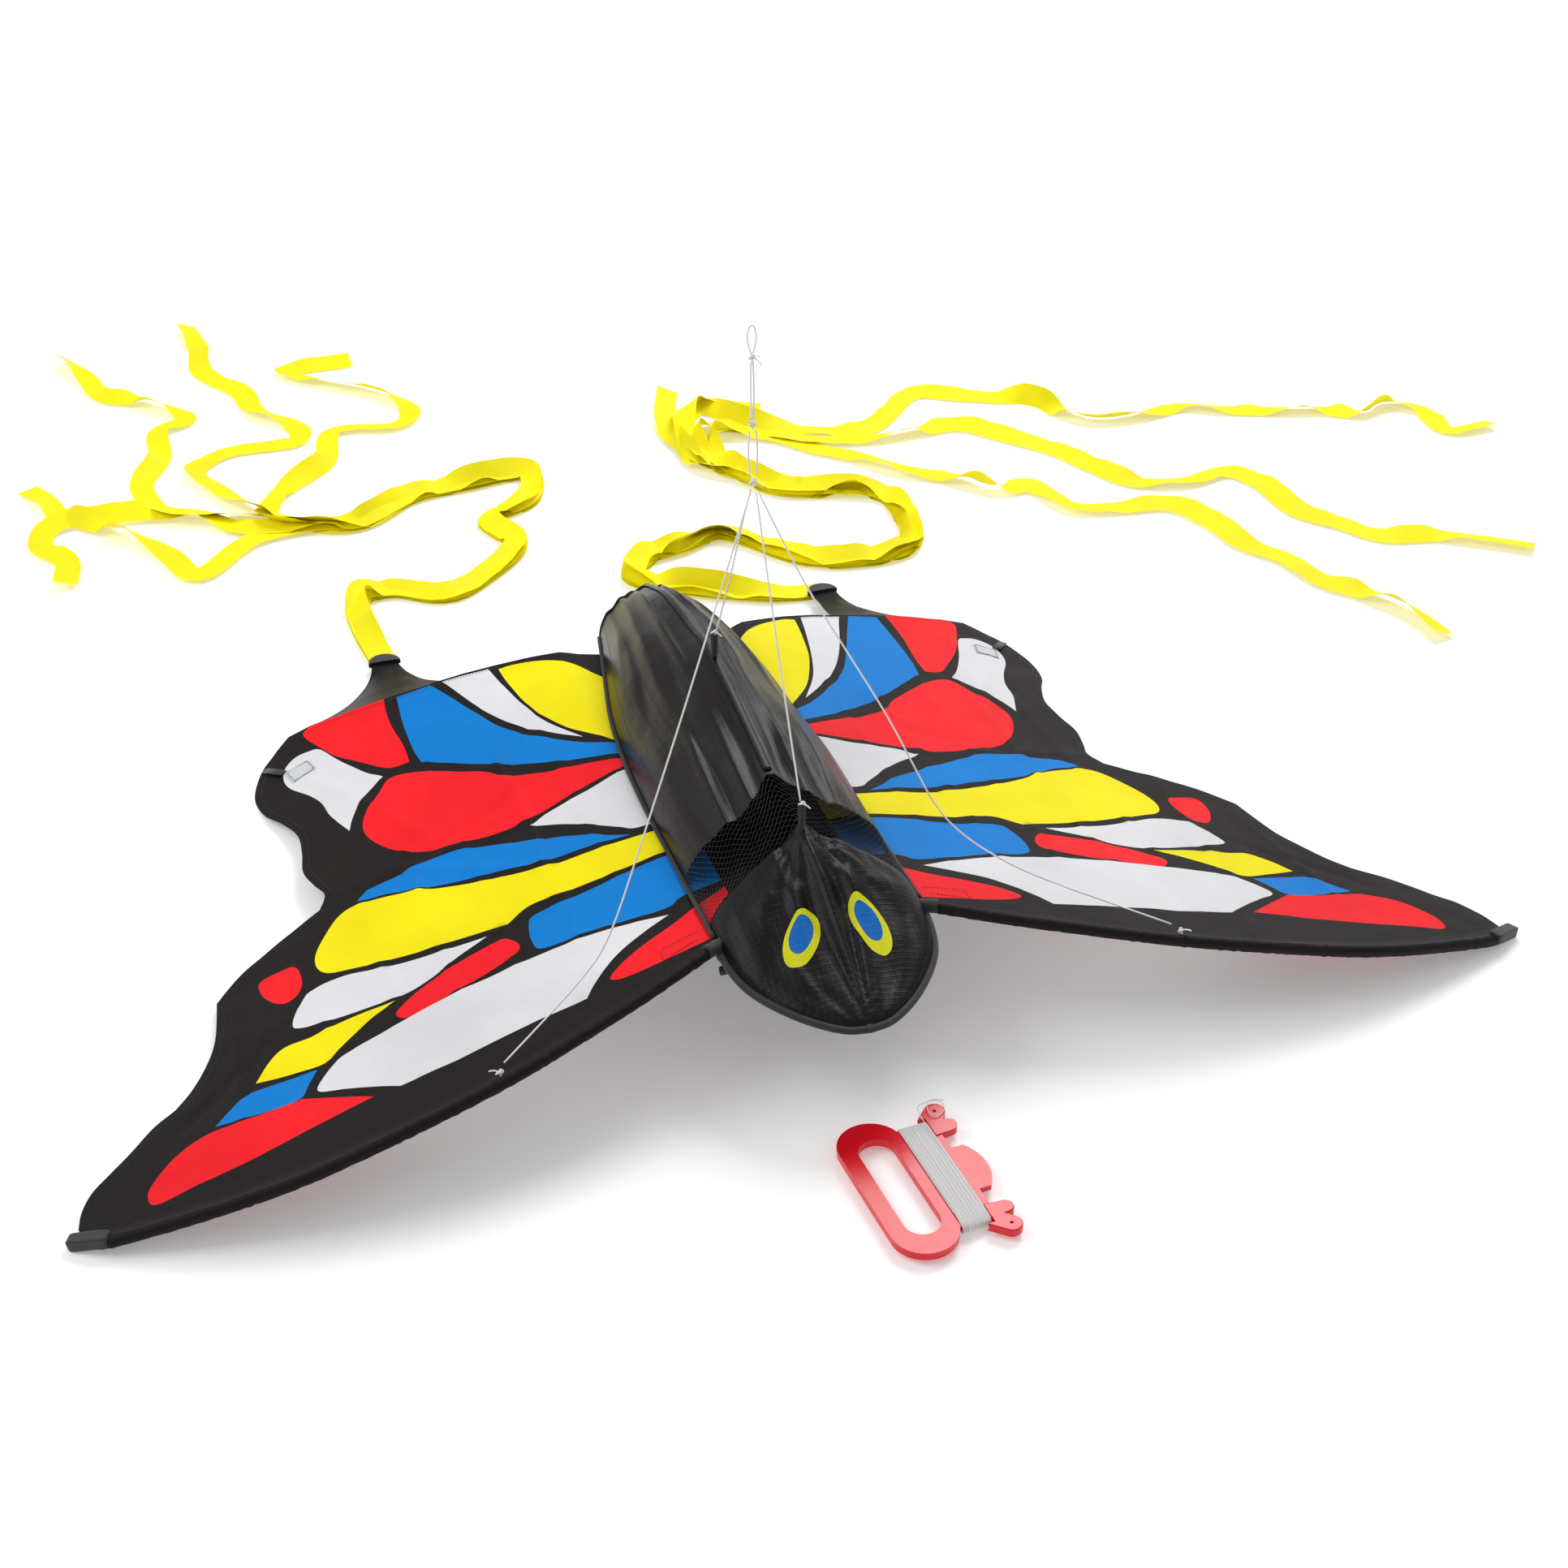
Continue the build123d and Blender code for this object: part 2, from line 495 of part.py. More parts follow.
def bridle_parts():
    export("keel_loop_front", keel_loop(KEEL_FRONT, MESH_STATIONS[0]))
    export("keel_loop_rear", keel_loop(KEEL_REAR, BODY_STATIONS[2]))
    for name, leg in (("left", LEG_LEFT), ("right", LEG_RIGHT), ("front", LEG_FRONT), ("rear", LEG_REAR)):
        export(f"bridle_leg_{name}", cord(over_sail(leg), LINE_D))
    export("bridle_knot_lower", knot(JOIN, 9))
    export("bridle_knot_upper", knot((JOIN[0], JOIN[1], UPPER_Z), 7))
    export("bridle_knot_top", knot((JOIN[0], JOIN[1], TOP_Z), 7))
    x, y, z = JOIN
    lower = [(x - STRAND, y, z + 6), (x - 2 * STRAND, y, (z + UPPER_Z) / 2), (x - STRAND, y, UPPER_Z - 5)]
    export("bridle_riser_left", cord(lower, LINE_D))
    export("bridle_riser_right", cord([(2 * x - a, b, c) for a, b, c in lower], LINE_D))
    upper = [(x, y, UPPER_Z + 5), (x, y, TOP_Z - 5)]
    export("bridle_riser_top", bar(*upper, 2 * LINE_D))
    ring = SlotOverall(TOW_TOP_Z - TOP_Z - 5, 9, rotation=90) - SlotOverall(TOW_TOP_Z - TOP_Z - 10, 4, rotation=90)
    export("tow_loop", Pos(x, y, (TOP_Z + TOW_TOP_Z + 3) / 2) * extrude(Plane.XZ * ring, 1.0, both=True))


def tail_parts():
    for side, bundle, ends in (("left", LEFT_BUNDLE, LEFT_ENDS), ("right", RIGHT_BUNDLE, RIGHT_ENDS)):
        for i, branch in enumerate(ends):
            export(f"ribbon_{side}_{i + 1}", ribbon(bundle + branch, i))


def winder_parts():
    export("winder_frame", winder_frame())
    export("flying_line", winder_place(coil()))


def main():
    os.makedirs("parts", exist_ok=True)
    wing_parts("right", False)
    wing_parts("left", True)
    frame_parts()
    body_parts()
    bridle_parts()
    tail_parts()
    winder_parts()


main()
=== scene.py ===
import math

import bmesh
import bpy
from mathutils import Matrix, Vector, noise
from mathutils.geometry import delaunay_2d_cdt


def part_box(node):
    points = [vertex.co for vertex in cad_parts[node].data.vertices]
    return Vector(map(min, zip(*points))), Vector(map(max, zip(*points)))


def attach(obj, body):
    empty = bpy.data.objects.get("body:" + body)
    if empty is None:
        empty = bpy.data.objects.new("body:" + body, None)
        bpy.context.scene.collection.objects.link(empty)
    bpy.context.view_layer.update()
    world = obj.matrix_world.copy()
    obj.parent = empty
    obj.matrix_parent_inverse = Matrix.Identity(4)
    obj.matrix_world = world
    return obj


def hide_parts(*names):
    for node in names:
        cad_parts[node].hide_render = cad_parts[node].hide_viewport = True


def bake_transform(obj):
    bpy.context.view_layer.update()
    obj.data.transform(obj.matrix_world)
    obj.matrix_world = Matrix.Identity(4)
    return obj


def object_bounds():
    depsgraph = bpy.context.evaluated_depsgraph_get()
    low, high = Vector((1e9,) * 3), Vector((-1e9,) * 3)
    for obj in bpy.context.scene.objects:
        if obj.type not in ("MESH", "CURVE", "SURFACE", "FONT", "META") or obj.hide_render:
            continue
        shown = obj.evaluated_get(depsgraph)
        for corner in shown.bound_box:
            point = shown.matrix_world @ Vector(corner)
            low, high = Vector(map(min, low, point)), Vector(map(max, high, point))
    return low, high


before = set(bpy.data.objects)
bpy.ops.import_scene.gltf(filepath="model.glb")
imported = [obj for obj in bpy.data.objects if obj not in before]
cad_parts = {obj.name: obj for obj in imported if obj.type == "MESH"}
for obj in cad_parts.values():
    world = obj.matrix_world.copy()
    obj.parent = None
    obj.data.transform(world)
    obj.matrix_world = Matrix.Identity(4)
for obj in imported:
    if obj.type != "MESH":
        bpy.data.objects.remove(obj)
cad_low, cad_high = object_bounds()

# Lists of points are in millimetres in the kite's own coordinates, x to the right wing and y from
# head to tail. The frame says where they lie: the right wing's bridle knot is at KNOT_LINE_Y.
KNOT_LINE_Y = -24.0
knot_low, knot_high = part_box("wing_line_knot_right")
ORIGIN_Y = KNOT_LINE_Y - 500 * (knot_low[1] + knot_high[1])

SAIL_HEIGHT = 127.0
SADDLE = 0.2855e-3
SADDLE_Y = 300.0
SADDLE_X = 170.0
DROOP = (0.238, -0.113e-3, 0.564e-6)
HINGE_X = 96.0
SLEEVE_R = 4.4
LEADING_EDGE = [(99, 53), (200, 5), (300, -31), (420, -49), (500, -49), (600, -33), (630, -20)]


def at(x, y, z):
    """Kite millimetres to the frame's metres."""
    return Vector((x / 1000, (y - ORIGIN_Y) / 1000, z / 1000))


def sail_z(x, y):
    slope = DROOP[0] + DROOP[1] * y + DROOP[2] * y * y
    lift = SADDLE * (y - SADDLE_Y) ** 2 * (1 - math.exp(-(x / SADDLE_X) ** 2))
    return SAIL_HEIGHT + lift - abs(x) * slope


def panel_z(y):
    return sail_z(HINGE_X, y)


# ---------------------------------------------------------------- curves and meshes
def catmull(p0, p1, p2, p3, t):
    """Point between p1 and p2 on a smooth run of points."""
    return 0.5 * ((2 * p1) + (p2 - p0) * t + (2 * p0 - 5 * p1 + 4 * p2 - p3) * t * t
                  + (3 * p1 - p0 - 3 * p2 + p3) * t ** 3)


def smooth_run(points, steps=6):
    """Open smooth line through points of any dimension."""
    pts = [Vector(p) for p in points]
    pts = [2 * pts[0] - pts[1]] + pts + [2 * pts[-1] - pts[-2]]
    line = [catmull(*pts[i:i + 4], k / steps) for i in range(len(pts) - 3) for k in range(steps)]
    return line + [pts[-2]]


def closed_outline(points, steps=5):
    """Closed smooth line through (x, y) points; a third value of 1 makes that point a sharp corner."""
    if sum(a[0] * b[1] - b[0] * a[1] for a, b in zip(points, points[1:] + points[:1])) < 0:
        points = points[::-1]
    corners = [i for i, p in enumerate(points) if len(p) == 3]
    flat = [Vector(p[:2]) for p in points]
    n = len(flat)
    if not corners:
        return [catmull(flat[i - 1], flat[i], flat[(i + 1) % n], flat[(i + 2) % n], k / steps)
                for i in range(n) for k in range(steps)]
    line = []
    for start, end in zip(corners, corners[1:] + [corners[0] + n]):
        line += smooth_run([flat[i % n] for i in range(start, end + 1)], steps)[:-1]
    return line


def new_object(name, mesh, materials, body, smooth=True):
    obj = bpy.data.objects.new(name, mesh)
    bpy.context.scene.collection.objects.link(obj)
    for mat in materials:
        mesh.materials.append(mat)
    if smooth:
        mesh.polygons.foreach_set("use_smooth", [True] * len(mesh.polygons))
    if body:
        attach(obj, body)
    return obj


def mesh_of(name, verts, faces):
    mesh = bpy.data.meshes.new(name)
    mesh.from_pydata(verts, [], faces)
    mesh.update()
    return mesh


def turned_left(outline):
    """The same closed line, running anticlockwise."""
    area = sum(a.x * b.y - b.x * a.y for a, b in zip(outline, outline[1:] + outline[:1]))
    return outline if area > 0 else outline[::-1]


def fill_outline(outline, panels, spacing):
    """Triangles inside an outline, with the panels' edges kept: points, faces and each face's panel."""
    coords = list(outline)
    polygons = [list(range(len(outline)))]
    for panel in panels:
        polygons.append(list(range(len(coords), len(coords) + len(panel))))
        coords += panel
    low_x, high_x = min(p.x for p in outline), max(p.x for p in outline)
    low_y, high_y = min(p.y for p in outline), max(p.y for p in outline)
    rows = int((high_y - low_y) / (spacing * 0.866))
    for j in range(1, rows):
        y = low_y + j * spacing * 0.866
        x = low_x + spacing * (0.5 if j % 2 else 1.0)
        while x < high_x:
            coords.append(Vector((x, y)))
            x += spacing
    points, _, faces, _, _, origins = delaunay_2d_cdt(coords, [], polygons, 1, 0.05, True)
    kept = [(list(face), max(origin)) for face, origin in zip(faces, origins) if 0 in origin]
    used = sorted({i for face, _ in kept for i in face})
    place = {old: new for new, old in enumerate(used)}
    faces = [[place[i] for i in face] for face, _ in kept]
    return [points[i] for i in used], faces, [owner for _, owner in kept]


def tube_mesh(name, line, radius, sides=10, squash=1.0, flat_dir=(0, 0, 1)):
    """Tube along a line. radius may be a function of the share of the way along."""
    verts, faces = [], []
    count = len(line)
    for i, p in enumerate(line):
        way = (line[min(i + 1, count - 1)] - line[max(i - 1, 0)]).normalized()
        side = way.cross(Vector(flat_dir)).normalized()
        up = side.cross(way).normalized()
        r = radius(i / (count - 1)) if callable(radius) else radius
        for k in range(sides):
            a = 2 * math.pi * k / sides
            verts.append(p + side * math.cos(a) * r + up * math.sin(a) * r * squash)
    for i in range(count - 1):
        for k in range(sides):
            a, b = i * sides + k, i * sides + (k + 1) % sides
            faces.append((a, b, b + sides, a + sides))
    faces.append(tuple(range(sides - 1, -1, -1)))
    faces.append(tuple(range((count - 1) * sides, count * sides)))
    return mesh_of(name, verts, faces)


def resample(line, step):
    """Points a fixed step apart along a line."""
    out, carry = [line[0].copy()], 0.0
    for a, b in zip(line, line[1:]):
        run = (b - a).length
        while carry + run >= step:
            t = (step - carry) / run
            a = a.lerp(b, t)
            out.append(a.copy())
            run = (b - a).length
            carry = 0.0
        carry += run
    return out


def stitches(name, line, body, mat, pitch=0.0032, length=0.0021, radius=0.0003, lift=0.0002):
    """A row of sewn stitches standing a little proud of the cloth."""
    places = resample(line, pitch)
    verts, faces = [], []
    for a, b in zip(places, places[1:]):
        way = (b - a).normalized()
        side = way.cross(Vector((0, 0, 1))).normalized()
        up = side.cross(way).normalized()
        mid = (a + b) / 2 + up * lift
        base = len(verts)
        verts += [mid - way * length / 2, mid + side * radius, mid + up * radius * 1.4, mid - side * radius,
                  mid + way * length / 2]
        faces += [(base, base + 1, base + 2), (base, base + 2, base + 3), (base + 4, base + 2, base + 1),
                  (base + 4, base + 3, base + 2)]
    return new_object(name, mesh_of(name, verts, faces), [mat], body)


# ---------------------------------------------------------------- materials
WAVE_UNIT = 0.314          # a wave texture's scale times its period, in metres


def add(mat, kind, values, joined):
    """New shader node with some of its inputs set and others joined to outputs."""
    node = mat.node_tree.nodes.new("ShaderNode" + kind)
    for socket, value in values.items():
        node.inputs[socket].default_value = value
    for socket, output in joined.items():
        mat.node_tree.links.new(output, node.inputs[socket])
    return node


def principled(name, color, roughness):
    """New material, with its shader and the object's coordinates."""
    mat = bpy.data.materials.new(name)
    mat.use_nodes = True
    shader = mat.node_tree.nodes["Principled BSDF"]
    shader.inputs["Base Color"].default_value = (*color, 1)
    shader.inputs["Roughness"].default_value = roughness
    return mat, shader, add(mat, "TexCoord", {}, {}).outputs["Object"]


def two_tones(mat, shader, color, share, tones, ends=(0, 1)):
    """Base colour that runs between two tones of a colour."""
    ramp = add(mat, "ValToRGB", {}, {"Fac": share})
    for element, tone, end in zip(ramp.color_ramp.elements, tones, ends):
        element.position = end
        element.color = (*[min(1, c * tone) for c in color], 1)
    mat.node_tree.links.new(ramp.outputs["Color"], shader.inputs["Base Color"])


def bump(mat, shader, height, strength, distance):
    node = add(mat, "Bump", {"Strength": strength, "Distance": distance}, {"Height": height})
    mat.node_tree.links.new(node.outputs["Normal"], shader.inputs["Normal"])


def bands(mat, place, direction, period, distortion):
    wave = add(mat, "TexWave", {"Scale": WAVE_UNIT / period, "Distortion": distortion}, {"Vector": place})
    wave.bands_direction = direction
    return wave.outputs["Fac"]


def times_plus(mat, value, factor, base):
    """value * factor + base, where base is an output or None."""
    node = add(mat, "Math", {1: factor, 2: 0}, {0: value} if base is None else {0: value, 2: base})
    node.operation = "MULTIPLY_ADD"
    return node.outputs[0]


def cloth(name, color, roughness=0.55, grid_depth=0.00008, wrinkle=0.0008, wrinkle_scale=28, specular=0.22):
    """Woven coated cloth: fine threads, a ripstop grid, soft wrinkles and a little colour change."""
    mat, shader, place = principled(name, color, roughness)
    shader.inputs["Specular IOR Level"].default_value = specular
    patchy = add(mat, "TexNoise", {"Scale": 9, "Detail": 4}, {"Vector": place})
    two_tones(mat, shader, color, patchy.outputs["Fac"], (0.9, 1.05), (0.3, 0.7))
    height = None
    for period, depth, sharpness in ((0.005, grid_depth, 8), (0.0006, 0.00003, 1)):
        for direction in ("X", "Y"):
            ridge = add(mat, "Math", {1: sharpness}, {0: bands(mat, place, direction, period, 0.0)})
            ridge.operation = "POWER"
            height = times_plus(mat, ridge.outputs[0], depth, height)
    crumple = add(mat, "TexNoise", {"Scale": wrinkle_scale, "Detail": 3, "Roughness": 0.45},
                  {"Vector": place})
    bump(mat, shader, times_plus(mat, crumple.outputs["Fac"], wrinkle, height), 1.0, 1.0)
    return mat


def ribbed(name, color, pitch, roughness, sheen, distortion, strength, tones):
    """Slanted ribs with a soft sheen; the base colour runs with the ribs' height: painted shade in the
    grooves and painted light on the rib tops.
    """
    mat, shader, place = principled(name, color, roughness)
    shader.inputs["Sheen Weight"].default_value = sheen
    wave = bands(mat, place, "DIAGONAL", pitch, distortion)
    bump(mat, shader, wave, strength, 0.0003)
    # painted shade and light: the colour ramp follows the same wave as the bump, darker low and lighter high
    two_tones(mat, shader, color, wave, tones)
    return mat


def webbing(name, color, rib=0.0012):
    """Woven tape."""
    # tones 0.6 and 1.3: painted shade in the rib grooves and painted light on the rib tops
    return ribbed(name, color, rib, 0.7, 0.25, 0.6, 0.6, (0.6, 1.3))


def twine(name, color, pitch):
    """Twisted or braided cord."""
    # tones 0.72 and 1.0: painted shade between the twists and painted light on top of them
    return ribbed(name, color, pitch, 0.65, 0.3, 1.0, 0.7, (0.72, 1.0))


def plastic(name, color, roughness):
    """Moulded plastic or a smooth rod: a slightly uneven gloss."""
    mat, shader, place = principled(name, color, roughness)
    grain = add(mat, "TexNoise", {"Scale": 140, "Detail": 4}, {"Vector": place}).outputs["Fac"]
    spread = add(mat, "MapRange", {"To Min": roughness - 0.03, "To Max": roughness + 0.06}, {"Value": grain})
    mat.node_tree.links.new(spread.outputs["Result"], shader.inputs["Roughness"])
    bump(mat, shader, grain, 0.25, 0.0002)
    return mat


BLACK_PRINT = cloth("print_black", (0.012, 0.009, 0.009), 0.5, specular=0.10)
RED_PRINT = cloth("print_red", (0.90, 0.010, 0.018), 0.5, specular=0.10)
BLUE_PRINT = cloth("print_blue", (0.0, 0.20, 0.62), 0.5, specular=0.10)
YELLOW_PRINT = cloth("print_yellow", (0.88, 0.76, 0.001), 0.5, specular=0.10)
WHITE_PRINT = cloth("print_white", (0.72, 0.71, 0.74), 0.5, specular=0.10)
BODY_BLACK = cloth("body_ripstop", (0.006, 0.004, 0.003), 0.27, wrinkle=0.0030, wrinkle_scale=14,
                   specular=0.24)
HEAD_BLACK = cloth("head_ripstop", (0.005, 0.004, 0.006), 0.30, wrinkle=0.0034, wrinkle_scale=20,
                   specular=0.18)
FLAP_BLACK = cloth("flap_ripstop", (0.010, 0.008, 0.008), 0.45, wrinkle=0.0016, specular=0.12)
EYE_YELLOW = cloth("eye_yellow", (0.66, 0.66, 0.001), 0.45)
EYE_BLUE = cloth("eye_blue", (0.0, 0.13, 0.48), 0.45)
RIBBON_YELLOW = cloth("ribbon_yellow", (0.93, 0.83, 0.001), 0.62, grid_depth=0.0, wrinkle=0.0005,
                      wrinkle_scale=45)
NET_BLACK = webbing("net_black", (0.008, 0.007, 0.006), 0.0008)
TAPE_BLACK = webbing("tape_black", (0.010, 0.009, 0.010))
THREAD_BLACK = webbing("thread_black", (0.006, 0.005, 0.006), 0.0006)
PATCH_WHITE = cloth("patch_white", (0.58, 0.62, 0.66), 0.6)
FIBREGLASS = plastic("fibreglass", (0.02, 0.02, 0.022), 0.25)
HUB_RUBBER = plastic("hub_rubber", (0.018, 0.018, 0.018), 0.6)
RED_PLASTIC = plastic("winder_red", (0.72, 0.001, 0.012), 0.25)
BRIDLE_WHITE = twine("bridle_white", (0.97, 0.96, 0.94), 0.0011)
LINE_WHITE = twine("line_white", (0.98, 0.96, 0.97), 0.0007)

PRINT = {"black": 0, "red": 1, "blue": 2, "yellow": 3, "white": 4}
PRINT_MATERIALS = [BLACK_PRINT, RED_PRINT, BLUE_PRINT, YELLOW_PRINT, WHITE_PRINT]

# ---------------------------------------------------------------- the printed wings
# Coloured panels of the right wing; (x, y, 1) is a sharp corner.
PANELS = [
    ("yellow", [(60, 412, 1), (88, 409, 1), (104, 430), (122, 457), (136, 490), (147, 525), (154, 568),
                (157, 600, 1), (140, 597), (112, 583), (88, 560), (72, 533), (48, 500, 1)]),
    ("white", [(112, 430, 1), (130, 450), (155, 482), (172, 510), (190, 552), (206, 600), (212, 617, 1),
               (166, 607, 1), (160, 572), (150, 525), (136, 478)]),
    ("blue", [(60, 402, 1), (60, 382, 1), (88, 383), (118, 395), (160, 418), (195, 444), (230, 474),
              (258, 500, 1), (261, 530), (261, 580), (258, 627, 1), (224, 621, 1), (210, 585), (195, 545),
              (176, 500), (150, 462), (118, 425), (88, 403)]),
    ("red", [(270, 634, 1), (345, 650, 1), (354, 640), (345, 612), (328, 572), (306, 538), (288, 514),
             (268, 509, 1), (268, 540), (272, 580), (272, 610)]),
    ("white", [(342, 600), (354, 608), (368, 609), (380, 597), (384, 578), (380, 558), (366, 530),
               (357, 505), (353, 475), (341, 438, 1), (334, 458), (320, 482), (296, 503, 1), (310, 524),
               (326, 558)]),
    ("red", [(60, 375, 1), (88, 374), (120, 386), (158, 400), (190, 417), (206, 438), (232, 460), (268, 489),
             (290, 496), (303, 480), (322, 455), (329, 428), (322, 400), (306, 372), (290, 357), (262, 345),
             (230, 335), (195, 334), (150, 346), (110, 356), (60, 364, 1)]),
    ("white", [(60, 354, 1), (92, 354), (130, 344), (170, 334), (190, 324, 1), (168, 312), (145, 294),
               (120, 270), (104, 258), (60, 258, 1)]),
    ("blue", [(114, 252, 1), (150, 259), (195, 264), (240, 278), (280, 289), (310, 302), (330, 311),
              (355, 315, 1), (344, 329, 1), (310, 333), (272, 335), (235, 323), (190, 300), (155, 283),
              (130, 263)]),
    ("yellow", [(60, 246, 1), (94, 245), (140, 250), (190, 254), (230, 266), (275, 282), (310, 300),
                (345, 310), (368, 309), (386, 290), (404, 255), (400, 226), (372, 214), (320, 202),
                (242, 191, 1), (218, 206), (180, 205), (130, 208), (60, 212, 1)]),
    ("blue", [(60, 203, 1), (94, 203), (140, 201), (180, 195), (218, 190), (226, 178), (229, 152),
              (222, 137), (180, 136), (118, 130), (100, 138), (60, 150, 1)]),
    ("red", [(240, 152), (244, 166), (256, 172), (285, 165), (318, 152), (345, 134), (355, 120), (346, 111),
             (318, 118), (280, 130), (250, 142)]),
    ("white", [(262, 185, 1), (300, 189), (345, 197), (385, 209), (412, 207), (428, 190), (437, 168),
               (432, 157), (395, 150), (345, 147), (318, 156), (290, 172)]),
    ("yellow", [(352, 142, 1), (390, 143), (425, 139), (448, 138), (464, 125), (478, 103, 1), (448, 97),
                (420, 93), (398, 112), (375, 130)]),
    ("red", [(420, 240), (424, 253), (440, 256), (455, 251), (455, 228), (445, 207), (434, 203),
             (422, 215)]),
    ("white", [(116, 120, 1), (150, 127), (195, 131), (250, 128), (310, 119), (370, 104), (405, 92),
               (424, 75), (432, 58), (412, 46), (390, 33), (370, 20, 1), (320, 26), (260, 36), (208, 44, 1),
               (196, 62), (172, 88), (142, 108)]),
    ("blue", [(428, 88, 1), (455, 91), (483, 92, 1), (500, 80), (517, 63, 1), (480, 57), (448, 57),
              (438, 72)]),
    ("red", [(446, 56, 1), (490, 56), (525, 57), (552, 44), (572, 22), (578, 6), (572, -8), (540, -4),
             (490, 2), (440, 12), (392, 20, 1), (415, 36)]),
    ("red", [(60, 140, 1), (88, 122), (115, 106), (145, 92), (170, 75), (184, 59), (165, 55), (120, 64),
             (60, 76, 1)])]

WING_REAR = [(30, 560), (60, 566), (96, 588), (150, 607), (210, 620), (262, 632), (345, 650)]
WING_OUTER = [(368, 650), (386, 632), (404, 608), (415, 570), (411, 532), (398, 503), (387, 468), (388, 435),
              (392, 402), (386, 370), (380, 348), (388, 327)]
WING_STEP = [(388, 327), (418, 310), (442, 295), (466, 278), (484, 258), (494, 245)]
WING_SIDE = [(494, 245), (497, 220), (503, 185), (514, 155), (528, 130), (545, 110)]
WING_FORE = [(545, 110), (565, 96), (582, 78), (604, 56), (620, 40), (630, 20), (634, 0)]
# Packing creases: a line from one point to another, its height and its width.
CREASES = [((193, 70), (193, 560), 2.6, 5), ((303, 100), (300, 520), 2.2, 5),
           ((140, 110), (146, 600), 1.6, 5), ((240, 290), (378, 600), 1.8, 6),
           ((96, 210), (236, 180), -2.0, 5), ((190, 250), (330, 360), 1.6, 6),
           ((405, 60), (430, 300), 1.8, 5), ((96, 420), (330, 330), -1.6, 8), ((500, 0), (480, 240), 1.6, 5),
           ((250, 30), (252, 620), 1.3, 4), ((355, 20), (350, 600), 1.4, 4),
           ((110, 330), (380, 345), 1.2, 5), ((100, 560), (210, 400), -1.8, 7),
           ((430, 180), (560, 60), -1.4, 6)]


LEADING_LINE = smooth_run(LEADING_EDGE, 10)


def leading_edge_y(x):
    """The leading edge rod's y at x."""
    for a, b in zip(LEADING_LINE, LEADING_LINE[1:]):
        if a.x <= x <= b.x:
            return a.y + (b.y - a.y) * (x - a.x) / (b.x - a.x)
    return LEADING_LINE[-1].y if x > LEADING_LINE[-1].x else LEADING_LINE[0].y


def distance_to_line(x, y, a, b):
    ax, ay, bx, by = *a, *b
    share = ((x - ax) * (bx - ax) + (y - ay) * (by - ay)) / ((bx - ax) ** 2 + (by - ay) ** 2)
    share = min(1, max(0, share))
    return math.hypot(x - ax - share * (bx - ax), y - ay - share * (by - ay)), share


def cloth_relief(x, y, seed):
    """Soft creases and waves of the sail, in millimetres."""
    lift = 0.0
    for a, b, height, width in CREASES:
        d, share = distance_to_line(x, y, a, b)
        lift += height * math.exp(-(d / width) ** 2) * max(0, math.sin(math.pi * share)) ** 0.5
    lift += 1.6 * noise.noise(Vector((x / 70, y / 90, seed)))
    lift += 0.7 * noise.noise(Vector((x / 22, y / 30, seed + 5)))
    fade = min(1.0, max(0.0, (x - 100) / 60))
    return lift * fade


def wing_height(x, y, seed):
    """Height of the visible sail; it rises over the rod's sleeve along the leading edge."""
    flat = sail_z(max(x, HINGE_X), y)
    from_rod = y - leading_edge_y(x)
    lift = (SLEEVE_R + 0.4) * math.exp(-(from_rod / 8) ** 2) if x > 97 else 0
    return flat + lift + cloth_relief(x, y, seed) * min(1, max(0, from_rod / 30))


def wing_outline():
    front = [Vector((p.x, p.y + 0.5)) for p in LEADING_LINE if p.x > 101]
    inner = [Vector((30, 70)), Vector((96, 62))]
    tip = smooth_run(WING_FORE)[::-1]
    rear = smooth_run(WING_REAR)[::-1]
    rest = [point for run in (WING_SIDE, WING_STEP, WING_OUTER) for point in smooth_run(run)[::-1][1:]]
    return inner + front + tip + rest + rear


def printed_wing(name, side, seed):
    outline = turned_left(wing_outline())
    panels = [closed_outline(points) for _, points in PANELS]
    points, faces, owners = fill_outline(outline, panels, 7.0)
    verts = [at(side * p.x, p.y, wing_height(p.x, p.y, seed)) for p in points]
    if side > 0:
        faces = [f[::-1] for f in faces] if Vector(verts[faces[0][1]] - verts[faces[0][0]]).cross(
            verts[faces[0][2]] - verts[faces[0][0]]).z < 0 else faces
    else:
        faces = [f[::-1] for f in faces]
    mesh = mesh_of(name, verts, faces)
    obj = new_object(name, mesh, PRINT_MATERIALS, None)
    for poly, owner in zip(mesh.polygons, owners):
        poly.material_index = 0 if owner == 0 else PRINT[PANELS[owner - 1][0]]
    return obj


def wing_seam(side, offset, start=0.03, end=0.93):
    """Line on the sail beside the leading edge, offset back from the rod."""
    part = LEADING_LINE[int(start * len(LEADING_LINE)):int(end * len(LEADING_LINE))]
    return [at(side * p.x, p.y + offset, wing_height(p.x, p.y + offset, 0) + 0.25) for p in part]


# Sewn lines on a wing: the root patch, then the hem along the rear and outer edges.
SEWN_RUNS = [
    [(101, 84), (118, 80), (136, 75)], [(136, 75), (137, 66), (138, 57)], [(104, 73), (120, 68), (137, 60)],
    [(100, 583), (150, 601), (210, 614), (262, 626), (343, 644)],
    [(364, 642), (380, 628), (397, 604), (408, 570), (404, 534), (391, 505), (380, 468), (381, 435),
     (385, 402), (379, 370), (373, 346)],
    [(392, 319), (420, 304), (440, 290), (462, 274), (478, 255), (487, 243)],
    [(490, 218), (496, 184), (507, 152), (522, 127), (541, 104), (560, 91), (577, 74), (598, 53)]]


